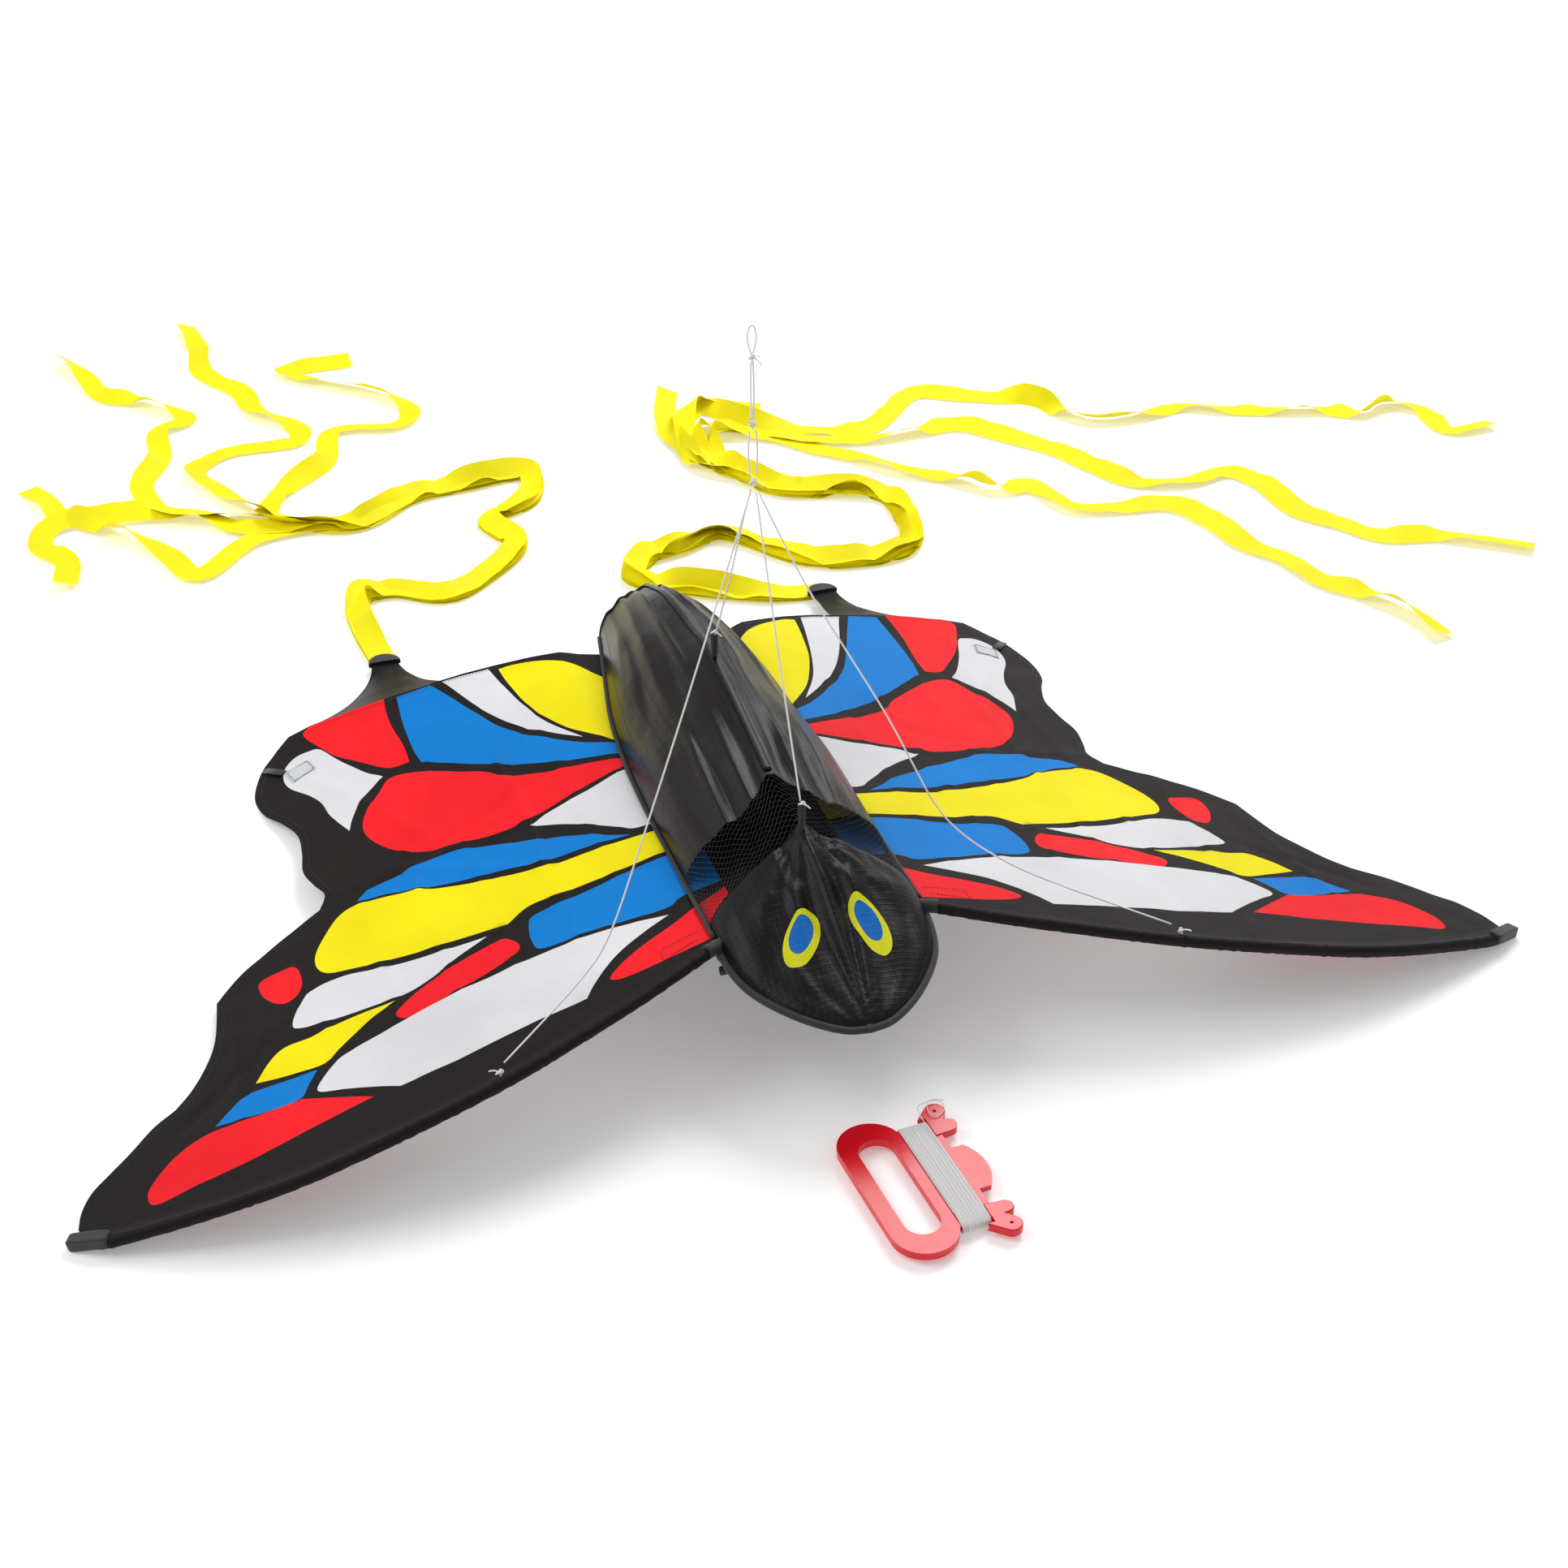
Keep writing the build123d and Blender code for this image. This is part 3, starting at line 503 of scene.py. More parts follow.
def build_wing(name, side, seed):
    body = "wing_" + name
    sail = printed_wing(f"sail_{name}", side, seed)
    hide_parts(f"wing_sail_{name}")
    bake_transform(sail)

    sleeve_line = [at(side * p.x, p.y, sail_z(p.x, p.y)) for p in resample(LEADING_LINE, 4.0)]
    ridges = [1 + 0.13 * noise.noise(Vector((i * 0.9, seed, 0)))
              + 0.08 * noise.noise(Vector((i * 2.7, seed, 4)))
              for i in range(len(sleeve_line))]
    last = len(ridges) - 1
    sleeve = new_object(f"rod_sleeve_{name}",
                        tube_mesh(f"rod_sleeve_{name}", sleeve_line,
                                  lambda t: (SLEEVE_R + 1.0) / 1000 * ridges[round(t * last)], 12),
                        [BLACK_PRINT], body)
    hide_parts(f"leading_edge_sleeve_{name}")
    root = [at(side * x, y, sail_z(96, y) + 0.5) for x, y in ((80, 60), (88, 57), (96, 54), (103, 51))]
    cuff = new_object(f"root_cuff_{name}", tube_mesh(f"root_cuff_{name}", smooth_run(root, 4), 0.0062,
                                                     14), [TAPE_BLACK],
                      "kite_body")
    for k, offset in enumerate((11.0, 24.0)):
        stitches(f"sleeve_stitches_{name}_{k}", wing_seam(side, offset), body, THREAD_BLACK)
    for k, run in enumerate(SEWN_RUNS):
        line = [at(side * p.x, p.y, wing_height(p.x, p.y, seed) + 0.3) for p in smooth_run(run, 8)]
        stitches(f"wing_stitches_{name}_{k}", line, body, THREAD_BLACK, radius=0.00045)


# ---------------------------------------------------------------- body, mesh and head
STATIONS = [(-65, 1, 1.0), (-62, 17, 3.0), (-54, 31, 5.5), (-36, 52, 10.0), (-14, 70, 16.0), (8, 82, 23.0),
            (35, 88.5, 33.0), (68, 90.5, 46.0), (110, 91, 63.0), (144, 91, 64.0), (176, 91, 66.0),
            (276, 91, 84.0), (361, 88, 98.0), (442, 80, 92.0), (527, 64, 80.0), (575, 55, 64.0),
            (606, 49, 48.0)]
RIM_DROP = 0.115
RIM_FROM = 62.0
LONG_FOLDS = [(-0.84, 4.6, 0.045), (-0.70, -3.8, 0.05), (-0.56, 5.8, 0.04), (-0.43, -4.6, 0.05),
              (-0.30, 4.8, 0.04), (-0.17, -3.0, 0.045), (0.15, -3.2, 0.04), (0.30, 5.0, 0.04),
              (0.46, -3.8, 0.05), (0.62, 5.4, 0.04), (0.78, -4.0, 0.05)]


def station(y, column):
    """Half width or height of the body at y, smoothly between the stations."""
    if y <= STATIONS[0][0]:
        return STATIONS[0][column]
    for i in range(len(STATIONS) - 1):
        a, b = STATIONS[i], STATIONS[i + 1]
        if y <= b[0]:
            before = STATIONS[max(i - 1, 0)]
            after = STATIONS[min(i + 2, len(STATIONS) - 1)]
            t = (y - a[0]) / (b[0] - a[0])
            slope_a = (b[column] - before[column]) / max(1, b[0] - before[0]) * (b[0] - a[0])
            slope_b = (after[column] - a[column]) / max(1, after[0] - a[0]) * (b[0] - a[0])
            t2, t3 = t * t, t ** 3
            return ((2 * t3 - 3 * t2 + 1) * a[column] + (t3 - 2 * t2 + t) * slope_a
                    + (3 * t2 - 2 * t3) * b[column] + (t3 - t2) * slope_b)
    return STATIONS[-1][column]


def rim_z(y):
    """Height of the body's lower edge; the head's rim droops towards the nose."""
    if y >= RIM_FROM:
        return panel_z(y) + 0.8
    return panel_z(RIM_FROM) + 0.8 - RIM_DROP * (RIM_FROM - y)


def body_folds(s, y):
    """Lengthwise creases of the body cloth, in millimetres."""
    lift = 0.0
    for centre, height, width in LONG_FOLDS:
        wander = 0.10 * noise.noise(Vector((centre * 9, y / 120, 2)))
        strength = 0.5 + 0.8 * noise.noise(Vector((centre * 5, y / 90, 7)))
        lift += height * strength * math.exp(-((s - centre - wander) / width) ** 2)
    lift += 2.0 * noise.noise(Vector((s * 2.5, y / 60, 1)))
    return lift * (1 - s * s) ** 0.5


def body_point(s, y, folds=1.0):
    """Point of the body's cloth: s runs from -1, the left seam, to 1, the right one."""
    w, h = station(y, 1), station(y, 2)
    tent = 0.16 + 0.30 * math.exp(-((y - 361) / 60) ** 2) + 0.45 * math.exp(-((y - 115) / 30) ** 2)
    round_part = math.sqrt(max(0, 1 - s * s))
    z = rim_z(y) + h * ((1 - tent) * round_part + tent * (1 - abs(s)))
    gather = max(0, (y - 500) / 106) ** 2
    pleat = 1.3 * gather * math.sin(13 * s + 1)
    return at(s * w, y, z + folds * body_folds(s, y) + pleat * round_part)


def mesh_front(s):
    return 117 - 34 * abs(s) ** 1.15


def mesh_rear(s):
    return 154 + 14 * (1 - abs(s)) + 30 * math.exp(-(s / 0.22) ** 2)


def strip_surface(name, front, rear, rows, columns, side=None, folds=1.0):
    """Sheet of the body between two lines across it; front and rear give y for each s."""
    low = {-1: -1.0, 1: 0.0, None: -1.0}[side]
    high = {-1: 0.0, 1: 1.0, None: 1.0}[side]
    verts, faces = [], []
    for j in range(rows + 1):
        for i in range(columns + 1):
            angle = math.pi / 2 * (low + (high - low) * i / columns)
            s = math.sin(angle)
            y = front(s) + (rear(s) - front(s)) * j / rows
            verts.append(body_point(s, y, folds))
    for j in range(rows):
        for i in range(columns):
            a = j * (columns + 1) + i
            faces.append((a, a + 1, a + columns + 2, a + columns + 1))
    return mesh_of(name, verts, faces)


def build_body():
    for name, side in (("left", -1), ("right", 1)):
        mesh = strip_surface(f"body_{name}", mesh_rear, lambda s: 606, 110, 44, side)
        skin = new_object(f"body_{name}", mesh, [BODY_BLACK], "kite_body")
        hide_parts(f"body_skin_{name}")
        edge = [body_point(side * 0.93, y, 0.6) for y in range(160, 606, 5)]
        stitches(f"body_stitches_{name}", edge, "kite_body", THREAD_BLACK, lift=0.0006)
        bound = [at(side * (station(y, 1) + 1.4), y, panel_z(y) + 2.4) for y in range(66, 604, 6)]
        tape = new_object(f"side_binding_{name}", tube_mesh(f"side_binding_{name}", bound, 0.0021, 8, 0.8),
                          [TAPE_BLACK], "kite_body")
        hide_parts(f"body_binding_{name}")
    keel = [body_point(0, y) + Vector((0, 0, 0.0006)) for y in range(202, 604, 5)]
    new_object("keel_seam", tube_mesh("keel_seam", keel, 0.0036, 10, 0.3), [BODY_BLACK], "kite_body")
    for k, shift in enumerate((-0.05, 0.05)):
        line = [body_point(shift, y) for y in range(202, 604, 5)]
        stitches(f"keel_stitches_{k}", line, "kite_body", THREAD_BLACK, lift=0.0005)


def build_net():
    """Intake mesh: a netting of real threads over the gap between head and body."""
    columns, rows = 76, 22
    verts, faces, index = [], [], {}

    def vertex(i, j):
        if (i, j) not in index:
            s = math.sin(math.pi / 2 * (2 * i / columns - 1))
            y = mesh_front(s) - 2 + (mesh_rear(s) - mesh_front(s) + 4) * j / rows
            index[i, j] = len(verts)
            verts.append(body_point(s, y, 0.5))
        return index[i, j]

    for j in range(rows - 1):
        for i in range(j % 2, columns - 1, 2):
            if i + 2 <= columns and j + 2 <= rows:
                faces.append((vertex(i + 1, j), vertex(i + 2, j + 1), vertex(i + 1, j + 2),
                              vertex(i, j + 1)))
    mesh = mesh_of("intake_net", verts, faces)
    net = new_object("intake_net", mesh, [NET_BLACK], "kite_body", smooth=False)
    wires = net.modifiers.new("threads", "WIREFRAME")
    wires.thickness = 0.0006
    wires.use_even_offset = False
    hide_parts("air_mesh")


NOSE_RIM = [(0, -65), (17, -62), (34, -52), (52, -36), (70, -14), (82, 8), (88.5, 35), (90.5, 68),
            (90.8, 86)]


def head_outline():
    """Plan of the head pouch, from the mesh's front line round the nose."""
    side = [Vector((p.x, p.y)) for p in smooth_run(NOSE_RIM, 5)]
    front = [Vector((math.sin(a) * station(mesh_front(math.sin(a)), 1), mesh_front(math.sin(a))))
             for a in [math.pi / 2 * (1 - k / 16) for k in range(0, 33)]]
    left = [Vector((-p.x, p.y)) for p in side[:0:-1]]
    return side + front[1:-1] + left


def ellipse(cx, cy, long_half, short_half, tilt, count=40):
    line = []
    for k in range(count):
        a = 2 * math.pi * k / count
        u, v = short_half * math.cos(a), long_half * math.sin(a)
        line.append(Vector((cx + u * math.cos(tilt) - v * math.sin(tilt),
                            cy + u * math.sin(tilt) + v * math.cos(tilt))))
    return line


def head_point(p):
    w = station(p.y, 1)
    s = max(-1, min(1, p.x / w)) if w > 0 else 0
    fan = math.atan2(p.x, p.y + 75)
    pull = math.exp(-((p.y - 100) / 90) ** 2)
    crease = 6.0 * math.exp(-((fan - 0.02) / 0.045) ** 2) - 5.0 * math.exp(-((fan + 0.10) / 0.05) ** 2)
    crease += 3.5 * math.exp(-((fan - 0.20) / 0.05) ** 2) - 3.0 * math.exp(-((fan - 0.12) / 0.04) ** 2)
    near_hem = math.exp(-(p.y + 60) / 45) if p.y > -60 else 1
    radial = 1.8 * math.sin(17 * math.atan2(p.x, 118 - p.y) + 1) * (1 - s * s)
    radial += 1.6 * near_hem * noise.noise(Vector((fan * 7, p.y / 30, 3)))
    sewn_down = min(1, max(0, (p.y + 60) / 24)) * math.sqrt(1 - s * s)
    return body_point(s, p.y, 0.35) + Vector((0, 0, sewn_down * (crease * (1 - 0.4 * pull) + radial) / 1000))


EYE_TILT = [(-1, 36), (1, 12)]


def build_head():
    eyes = [ellipse(side * 30, 20, 27, 14, side * math.radians(tilt)) for side, tilt in EYE_TILT]
    eyes += [ellipse(side * 29.5, 23, 17, 9.5, side * math.radians(tilt)) for side, tilt in EYE_TILT]
    points, faces, owners = fill_outline(turned_left(head_outline()), eyes, 3.6)
    verts = [head_point(p) for p in points]
    mesh = mesh_of("head", verts, faces)
    head = new_object("head", mesh, [HEAD_BLACK, EYE_YELLOW, EYE_BLUE], "kite_body")
    for poly, owner in zip(mesh.polygons, owners):
        poly.material_index = {0: 0, 1: 1, 2: 1, 3: 2, 4: 2}[owner]
    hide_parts("head_pouch")

    half_rim = [at(p.x * 1.012, p.y - 1, rim_z(p.y) - 3) for p in smooth_run(NOSE_RIM[:8], 6)]
    rim = [Vector((-p.x, p.y, p.z)) for p in half_rim[:0:-1]] + half_rim
    hem = new_object("head_binding", tube_mesh("head_binding", rim, 0.0037, 12, 0.9), [TAPE_BLACK],
                     "kite_body")
    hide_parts("head_hem", "head_hoop_rod")
    for k, side in enumerate((-1, 1)):
        line = [body_point(side * 0.95, y, 0.35) for y in range(60, -56, -4)]
        stitches(f"head_stitches_{k}", line, "kite_body", THREAD_BLACK, lift=0.0006)


# ---------------------------------------------------------------- sewn pieces
def rounded_box(name, size, place, mat, body):
    """Small sewn block of webbing with soft edges; place is its 4x4 matrix."""
    mesh = bpy.data.meshes.new(name)
    shape = bmesh.new()
    bmesh.ops.create_cube(shape, size=1)
    bmesh.ops.scale(shape, vec=size, verts=shape.verts)
    bmesh.ops.subdivide_edges(shape, edges=shape.edges, cuts=3, use_grid_fill=True)
    for v in shape.verts:
        v.co += 0.0004 * noise.noise_vector(v.co * 260)
    bmesh.ops.transform(shape, matrix=place, verts=shape.verts)
    shape.to_mesh(mesh)
    shape.free()
    obj = new_object(name, mesh, [mat], body)
    soft = obj.modifiers.new("soft", "SUBSURF")
    soft.levels = soft.render_levels = 2
    return obj


def basis(origin, along, up=Vector((0, 0, 1))):
    x = along.normalized()
    y = up.cross(x).normalized()
    z = x.cross(y)
    return Matrix.Translation(origin) @ Matrix((x, y, z)).transposed().to_4x4()


def grid_sheet(name, point, across, along_count, mat, body):
    """Sheet from point(u, v), with u and v from 0 to 1."""
    verts = [point(i / across, j / along_count) for j in range(along_count + 1) for i in range(across + 1)]
    faces = [(j * (across + 1) + i, j * (across + 1) + i + 1, (j + 1) * (across + 1) + i + 1,
              (j + 1) * (across + 1) + i) for j in range(along_count) for i in range(across)]
    return new_object(name, mesh_of(name, verts, faces), [mat], body)


def build_flap(name, side):
    """Swallowtail flap: hangs from the wing's rear edge and narrows to the ribbons' cap on the floor."""
    body = "wing_" + name

    def point(u, v):
        x = 205 + 142 * u
        y = 617 + 36 * u
        z = sail_z(x, y) - 1.2
        tip_x, tip_y, tip_z = 233 + 29 * u, 767, 10.5
        pull = 1 - (1 - v) ** 1.5
        mid = v * (1 - v)
        sag = 30 * mid * (1 - 0.5 * math.sin(math.pi * u)) - 4 * mid * math.sin(9 * u + 2)
        return at(side * (x + (tip_x - x) * pull), y + (tip_y - y) * v, max(6, z + (tip_z - z) * v - sag)
                  + 1.6 * noise.noise(Vector((u * 4, v * 3, side))) * math.sin(math.pi * v))

    flap = grid_sheet(f"flap_{name}", point, 26, 34, FLAP_BLACK, body)
    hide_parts(f"tail_flap_{name}")
    for k, u in enumerate((0.03, 0.97)):
        stitches(f"flap_stitches_{name}_{k}", [point(u, v / 20) for v in range(21)], body, THREAD_BLACK,
                 lift=0.0003)

    verts, faces = [], []
    rings, spokes = 5, 24
    for side_z, sign in ((12.9, 1), (8.3, -1)):
        for r in range(rings + 1):
            for k in range(spokes + 1):
                a = math.pi * k / spokes
                rr = 17 * r / rings
                dome = 0.9 * sign * (1 - (r / rings) ** 4)
                verts.append(at(side * (247 + rr * math.cos(a)), 770 + rr * math.sin(a), side_z + dome))
    row = spokes + 1
    half = (rings + 1) * row
    for layer in (0, half):
        for r in range(rings):
            for k in range(spokes):
                i = layer + r * row + k
                faces.append((i, i + 1, i + row + 1, i + row))
    for k in range(spokes):
        i = rings * row + k
        faces.append((i, i + 1, i + half + 1, i + half))
    cap = new_object(f"ribbon_cap_{name}", mesh_of(f"ribbon_cap_{name}", verts, faces), [TAPE_BLACK], body)
    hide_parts(f"tail_tab_{name}")
    arc = [at(side * (247 + 13.5 * math.cos(math.pi * k / 20)), 770 + 13.5 * math.sin(math.pi * k / 20),
              13.6)
           for k in range(21)]
    stitches(f"cap_stitches_{name}", arc, body, THREAD_BLACK, pitch=0.0026)


def build_pockets(name, side):
    body = "wing_" + name
    end = LEADING_LINE[-4]
    before = LEADING_LINE[-9]
    tip_at = at(side * end.x, end.y, sail_z(end.x, end.y))
    way = at(side * end.x, end.y, sail_z(end.x, end.y)) - at(side * before.x, before.y,
                                                             sail_z(before.x, before.y))
    tip = rounded_box(f"tip_cover_{name}", (0.036, 0.0125, 0.0105),
                      basis(tip_at + way.normalized() * 0.004 + Vector((0, 0, 0.0025)), way), TAPE_BLACK,
                      body)
    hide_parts(f"tip_pocket_{name}")
    low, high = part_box(f"hind_pocket_{name}")
    centre = (Vector(low) + Vector(high)) / 2
    hub_way = Vector((side * 0.374, 0.375, -0.09))
    pocket = rounded_box(f"rod_pocket_{name}", (0.036, 0.017, 0.0078), basis(centre, hub_way), TAPE_BLACK,
                         body)
    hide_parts(f"hind_pocket_{name}")

    corners = [(352, 572), (376, 566), (381, 588), (357, 594)]

    def patch_point(u, v):
        ax = corners[0][0] + (corners[1][0] - corners[0][0]) * u
        ay = corners[0][1] + (corners[1][1] - corners[0][1]) * u
        bx = corners[3][0] + (corners[2][0] - corners[3][0]) * u
        by = corners[3][1] + (corners[2][1] - corners[3][1]) * u
        x, y = ax + (bx - ax) * v, ay + (by - ay) * v
        return at(side * x, y, wing_height(x, y, WING_SEED[name]) + 0.9)

    patch = grid_sheet(f"pocket_patch_{name}", patch_point, 8, 8, PATCH_WHITE, body)
    ring = [patch_point(*p) for p in ((0.06, 0.06), (0.94, 0.06), (0.94, 0.94), (0.06, 0.94), (0.06, 0.06))]
    stitches(f"patch_stitches_{name}", ring, body, THREAD_BLACK, pitch=0.0026, radius=0.0005)
    tab = [at(side * x, y, wing_height(x, y, WING_SEED[name]) + 0.6) for x,
           y in ((381, 590), (390, 602), (398, 612))]
    strap = new_object(f"pocket_strap_{name}", tube_mesh(f"pocket_strap_{name}", tab, 0.006, 10,
                                                         0.12), [TAPE_BLACK],
                       body)


WING_SEED = {"left": 3, "right": 11}


def build_middle():
    """Black middle panel under the body, and the seams of the frame below it."""
    def point(u, v):
        x = -HINGE_X + 2 * HINGE_X * u
        rear = 562 + 26 * abs(2 * u - 1) ** 2
        y = 62 + (rear - 62) * v
        return at(x, y, panel_z(y) - 0.8 + 0.5 * noise.noise(Vector((x / 30, y / 40, 4))))

    panel = grid_sheet("middle_panel", point, 40, 96, FLAP_BLACK, "kite_body")
    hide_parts("centre_sail")
    low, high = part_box("spine_sleeve")
    z_front, z_rear = panel_z(-40) - 9, panel_z(556) - 9
    line = []
    for k in range(90):
        y = low[1] + (high[1] - low[1]) * k / 89
        share = (y * 1000 + ORIGIN_Y + 40) / 596
        line.append(Vector((0, y, (z_front + (z_rear - z_front) * share) / 1000)))
    rolls = [1 + 0.12 * noise.noise(Vector((k * 0.6, 2, 0))) for k in range(90)]
    sleeve = new_object("spine_cover", tube_mesh("spine_cover", line,
                                                 lambda t: 0.0044 * rolls[round(t * 89)], 12),
                        [FLAP_BLACK], "kite_body")
    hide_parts("spine_sleeve")
    for side in (-1, 1):
        seam = [p + Vector((side * 0.011, 0, 0.0072)) for p in line]
        stitches(f"spine_stitches_{'left' if side < 0 else 'right'}", seam, "kite_body", THREAD_BLACK,
                 lift=-0.0005)
    ring = [body_point(math.sin(math.pi / 2 * k / 20), 602) + Vector((0, 0, 0.0008)) for k in range(-20, 21)]
    ring += [at(x, 590, panel_z(590) + 1.5) for x in (40, 20, 0, -20, -40)]
    ring.append(ring[0].copy())
    cinch = new_object("draw_cord", tube_mesh("draw_cord", smooth_run(ring, 3), 0.0014, 10), [TAPE_BLACK],
                       "kite_body")
    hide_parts("rear_drawcord")
    for name, side in (("left", -1), ("right", 1)):
        low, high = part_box(f"hoop_pocket_{name}")
        centre = (Vector(low) + Vector(high)) / 2
        tab = rounded_box(f"hoop_tab_{name}", (0.027, 0.0100, 0.0100), basis(centre, Vector((0, 1, -0.1))),
                          TAPE_BLACK, "kite_body")
        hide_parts(f"hoop_pocket_{name}")


# ---------------------------------------------------------------- ribbons
LEFT_BUNDLE = [(-246, 786), (-253, 868), (-246, 929), (-205, 938), (-152, 908), (-103, 938), (-50, 1000),
               (-68, 1070), (-10, 1110), (2, 1178), (-73, 1172), (-143, 1160), (-208, 1112), (-262, 1122)]
LEFT_ENDS = [
    [(-317, 1150), (-291, 1224), (-228, 1278), (-201, 1375), (-120, 1366), (-96, 1414), (-131, 1476),
     (-186, 1526), (-232, 1574), (-142, 1582)],
    [(-330, 1190), (-362, 1257), (-381, 1312), (-335, 1357), (-250, 1360), (-246, 1410), (-284, 1460),
     (-297, 1532), (-335, 1610), (-330, 1690), (-337, 1764)],
    [(-340, 1170), (-420, 1196), (-448, 1287), (-418, 1355), (-411, 1440), (-372, 1470), (-421, 1537),
     (-466, 1570), (-486, 1650), (-511, 1704)],
    [(-340, 1110), (-410, 1042), (-440, 1110), (-493, 1186), (-541, 1226), (-562, 1290), (-585, 1333)],
    [(-345, 1140), (-400, 1196), (-490, 1214), (-552, 1218), (-576, 1170), (-550, 1120), (-556, 1062)]]
RIGHT_BUNDLE = [(246, 786), (190, 795), (118, 832), (60, 878), (84, 922), (127, 932), (186, 950), (258, 862),
                (319, 840), (376, 848), (400, 900), (402, 980), (352, 1012), (290, 1035), (252, 1090)]
RIGHT_ENDS = [
    [(212, 1160), (214, 1240), (260, 1290), (300, 1230), (397, 1178), (453, 1172), (530, 1246), (587, 1224),
     (649, 1192), (688, 1148), (724, 1100), (784, 1092), (850, 1102), (899, 1076), (952, 1055), (1017, 1034),
     (1062, 1008), (1104, 1022), (1138, 996), (1140, 930), (1208, 932)],
    [(224, 1150), (236, 1228), (290, 1222), (364, 1160), (441, 1138), (501, 1139), (556, 1138), (599, 1092),
     (643, 1038), (669, 981), (698, 926), (761, 904), (818, 914), (845, 870), (850, 796), (886, 746),
     (919, 700), (978, 684), (1025, 655), (1068, 622)],
    [(236, 1138), (252, 1208), (320, 1184), (366, 1130), (402, 1096), (445, 1042), (496, 1000), (535, 956),
     (578, 948), (602, 884), (654, 866), (714, 852), (741, 795), (752, 738), (782, 690), (798, 626),
     (831, 581), (855, 534), (862, 464)],
    [(214, 1130), (200, 1196), (206, 1268), (232, 1348)],
    [(240, 1120), (214, 1180), (228, 1250), (262, 1300), (330, 1262)]]
RIBBON_W = 28.0
RIBBON_STEP = 9.0


def ribbon(name, route, level, seed):
    """One ribbon: lies flat or leans on one edge from bend to bend, as stiff thin cloth does."""
    runs = [Vector(p) for p in route]
    count = sum(max(2, round((b - a).length / RIBBON_STEP)) for a, b in zip(runs, runs[1:]))
    line = smooth_run(route, 6)
    line = resample(line, path_length(line) / count)
    count = len(line)
    knots_at = [0.0]
    for a, b in zip(runs, runs[1:]):
        knots_at.append(knots_at[-1] + (b - a).length)
    leans = [0.0] + [1.15 * noise.noise(Vector((k * 1.7, seed * 2.3, 0.5))) * (1 if k % 2 else 1.5)
                     for k in range(1, len(runs))]
    verts, faces, edges = [], [], 6
    low = 1.0 + level * 1.1
    half_w = RIBBON_W / 2
    step = (line[1] - line[0]).length
    for i, p in enumerate(line):
        way = (line[min(i + 1, count - 1)] - line[max(i - 1, 0)]).normalized()
        side_way = Vector((-way.y, way.x))
        run = min(i * step, knots_at[-1] - 0.01)
        k = max(j for j in range(len(knots_at)) if knots_at[j] <= run)
        k = min(k, len(leans) - 2)
        t = (run - knots_at[k]) / (knots_at[k + 1] - knots_at[k])
        t = t * t * (3 - 2 * t)
        lean = leans[k] + (leans[k + 1] - leans[k]) * t + 0.12 * noise.noise(Vector((run / 25, seed, 3)))
        lean = max(-1.2, min(1.2, lean)) * min(1, i / 8)
        rise = half_w * abs(math.sin(lean))
        crease = 0.9 * noise.noise(Vector((run / 18, seed, 8)))
        for j in range(edges + 1):
            u = (2 * j / edges - 1) * half_w
            flat = u * math.cos(lean)
            z = low + rise + u * math.sin(lean) + max(0, crease * (1 - (u / half_w) ** 2))
            verts.append(at(p.x + side_way.x * flat, p.y + side_way.y * flat, z))
    for i in range(count - 1):
        for j in range(edges):
            a = i * (edges + 1) + j
            faces.append((a, a + 1, a + edges + 2, a + edges + 1))
    obj = new_object(name, mesh_of(name, verts, faces), [RIBBON_YELLOW], None)
    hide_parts(name.replace("tail", "ribbon"))
    start = at(route[0][0], 780, 10)
    end = at(route[0][0], 1000, 10)
    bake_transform(obj)


def build_ribbons():
    for side, bundle, ends in (("left", LEFT_BUNDLE, LEFT_ENDS), ("right", RIGHT_BUNDLE, RIGHT_ENDS)):
        for i, branch in enumerate(ends):
            ribbon(f"tail_{side}_{i + 1}", bundle + branch, i, 10 * i + len(side))


# ---------------------------------------------------------------- bridle
LINE_D = 1.6
LEGS = {
    "left": [(-4, 234, 430), (-69, 176, 308), (-139, 115, 185), (-178, 82, 117), (-206, 57, 106),
             (-246, 22, 100), (-291, -16, 94)],
    "right": [(4, 234, 430), (30, 211, 362), (62, 183, 300), (92, 156, 243), (112, 139, 196),
              (129, 125, 156), (152, 106, 131), (186, 76, 114), (222, 44, 106), (258, 12, 100),
              (291, -16, 94)],
    "front": [(1, 232, 431), (1, 206, 375), (0, 172, 312), (0, 142, 254), (0, 113, 200)],
    "rear": [(-1, 241, 431), (-1, 270, 380), (0, 301, 324), (0, 331, 272), (0, 357, 228)]}


def spline_points(points, detail):
    """Points along the smooth NURBS line of a route, in metres."""
    curve = bpy.data.curves.new("route", "CURVE")
    curve.dimensions = "3D"
    curve.resolution_u = detail
    spline = curve.splines.new("NURBS")
    spline.points.add(len(points) - 1)
    for slot, p in zip(spline.points, points):
        slot.co = (*at(*p), 1)
    spline.order_u = 3
    spline.use_endpoint_u = True
    guide = bpy.data.objects.new("route", curve)
    bpy.context.scene.collection.objects.link(guide)
    bpy.context.view_layer.update()
    mesh = bpy.data.meshes.new_from_object(guide)
    line = [v.co.copy() for v in mesh.vertices]
    bpy.data.meshes.remove(mesh)
    bpy.data.objects.remove(guide)
    bpy.data.curves.remove(curve)
    return line


def path_length(line):
    return sum((b - a).length for a, b in zip(line, line[1:]))


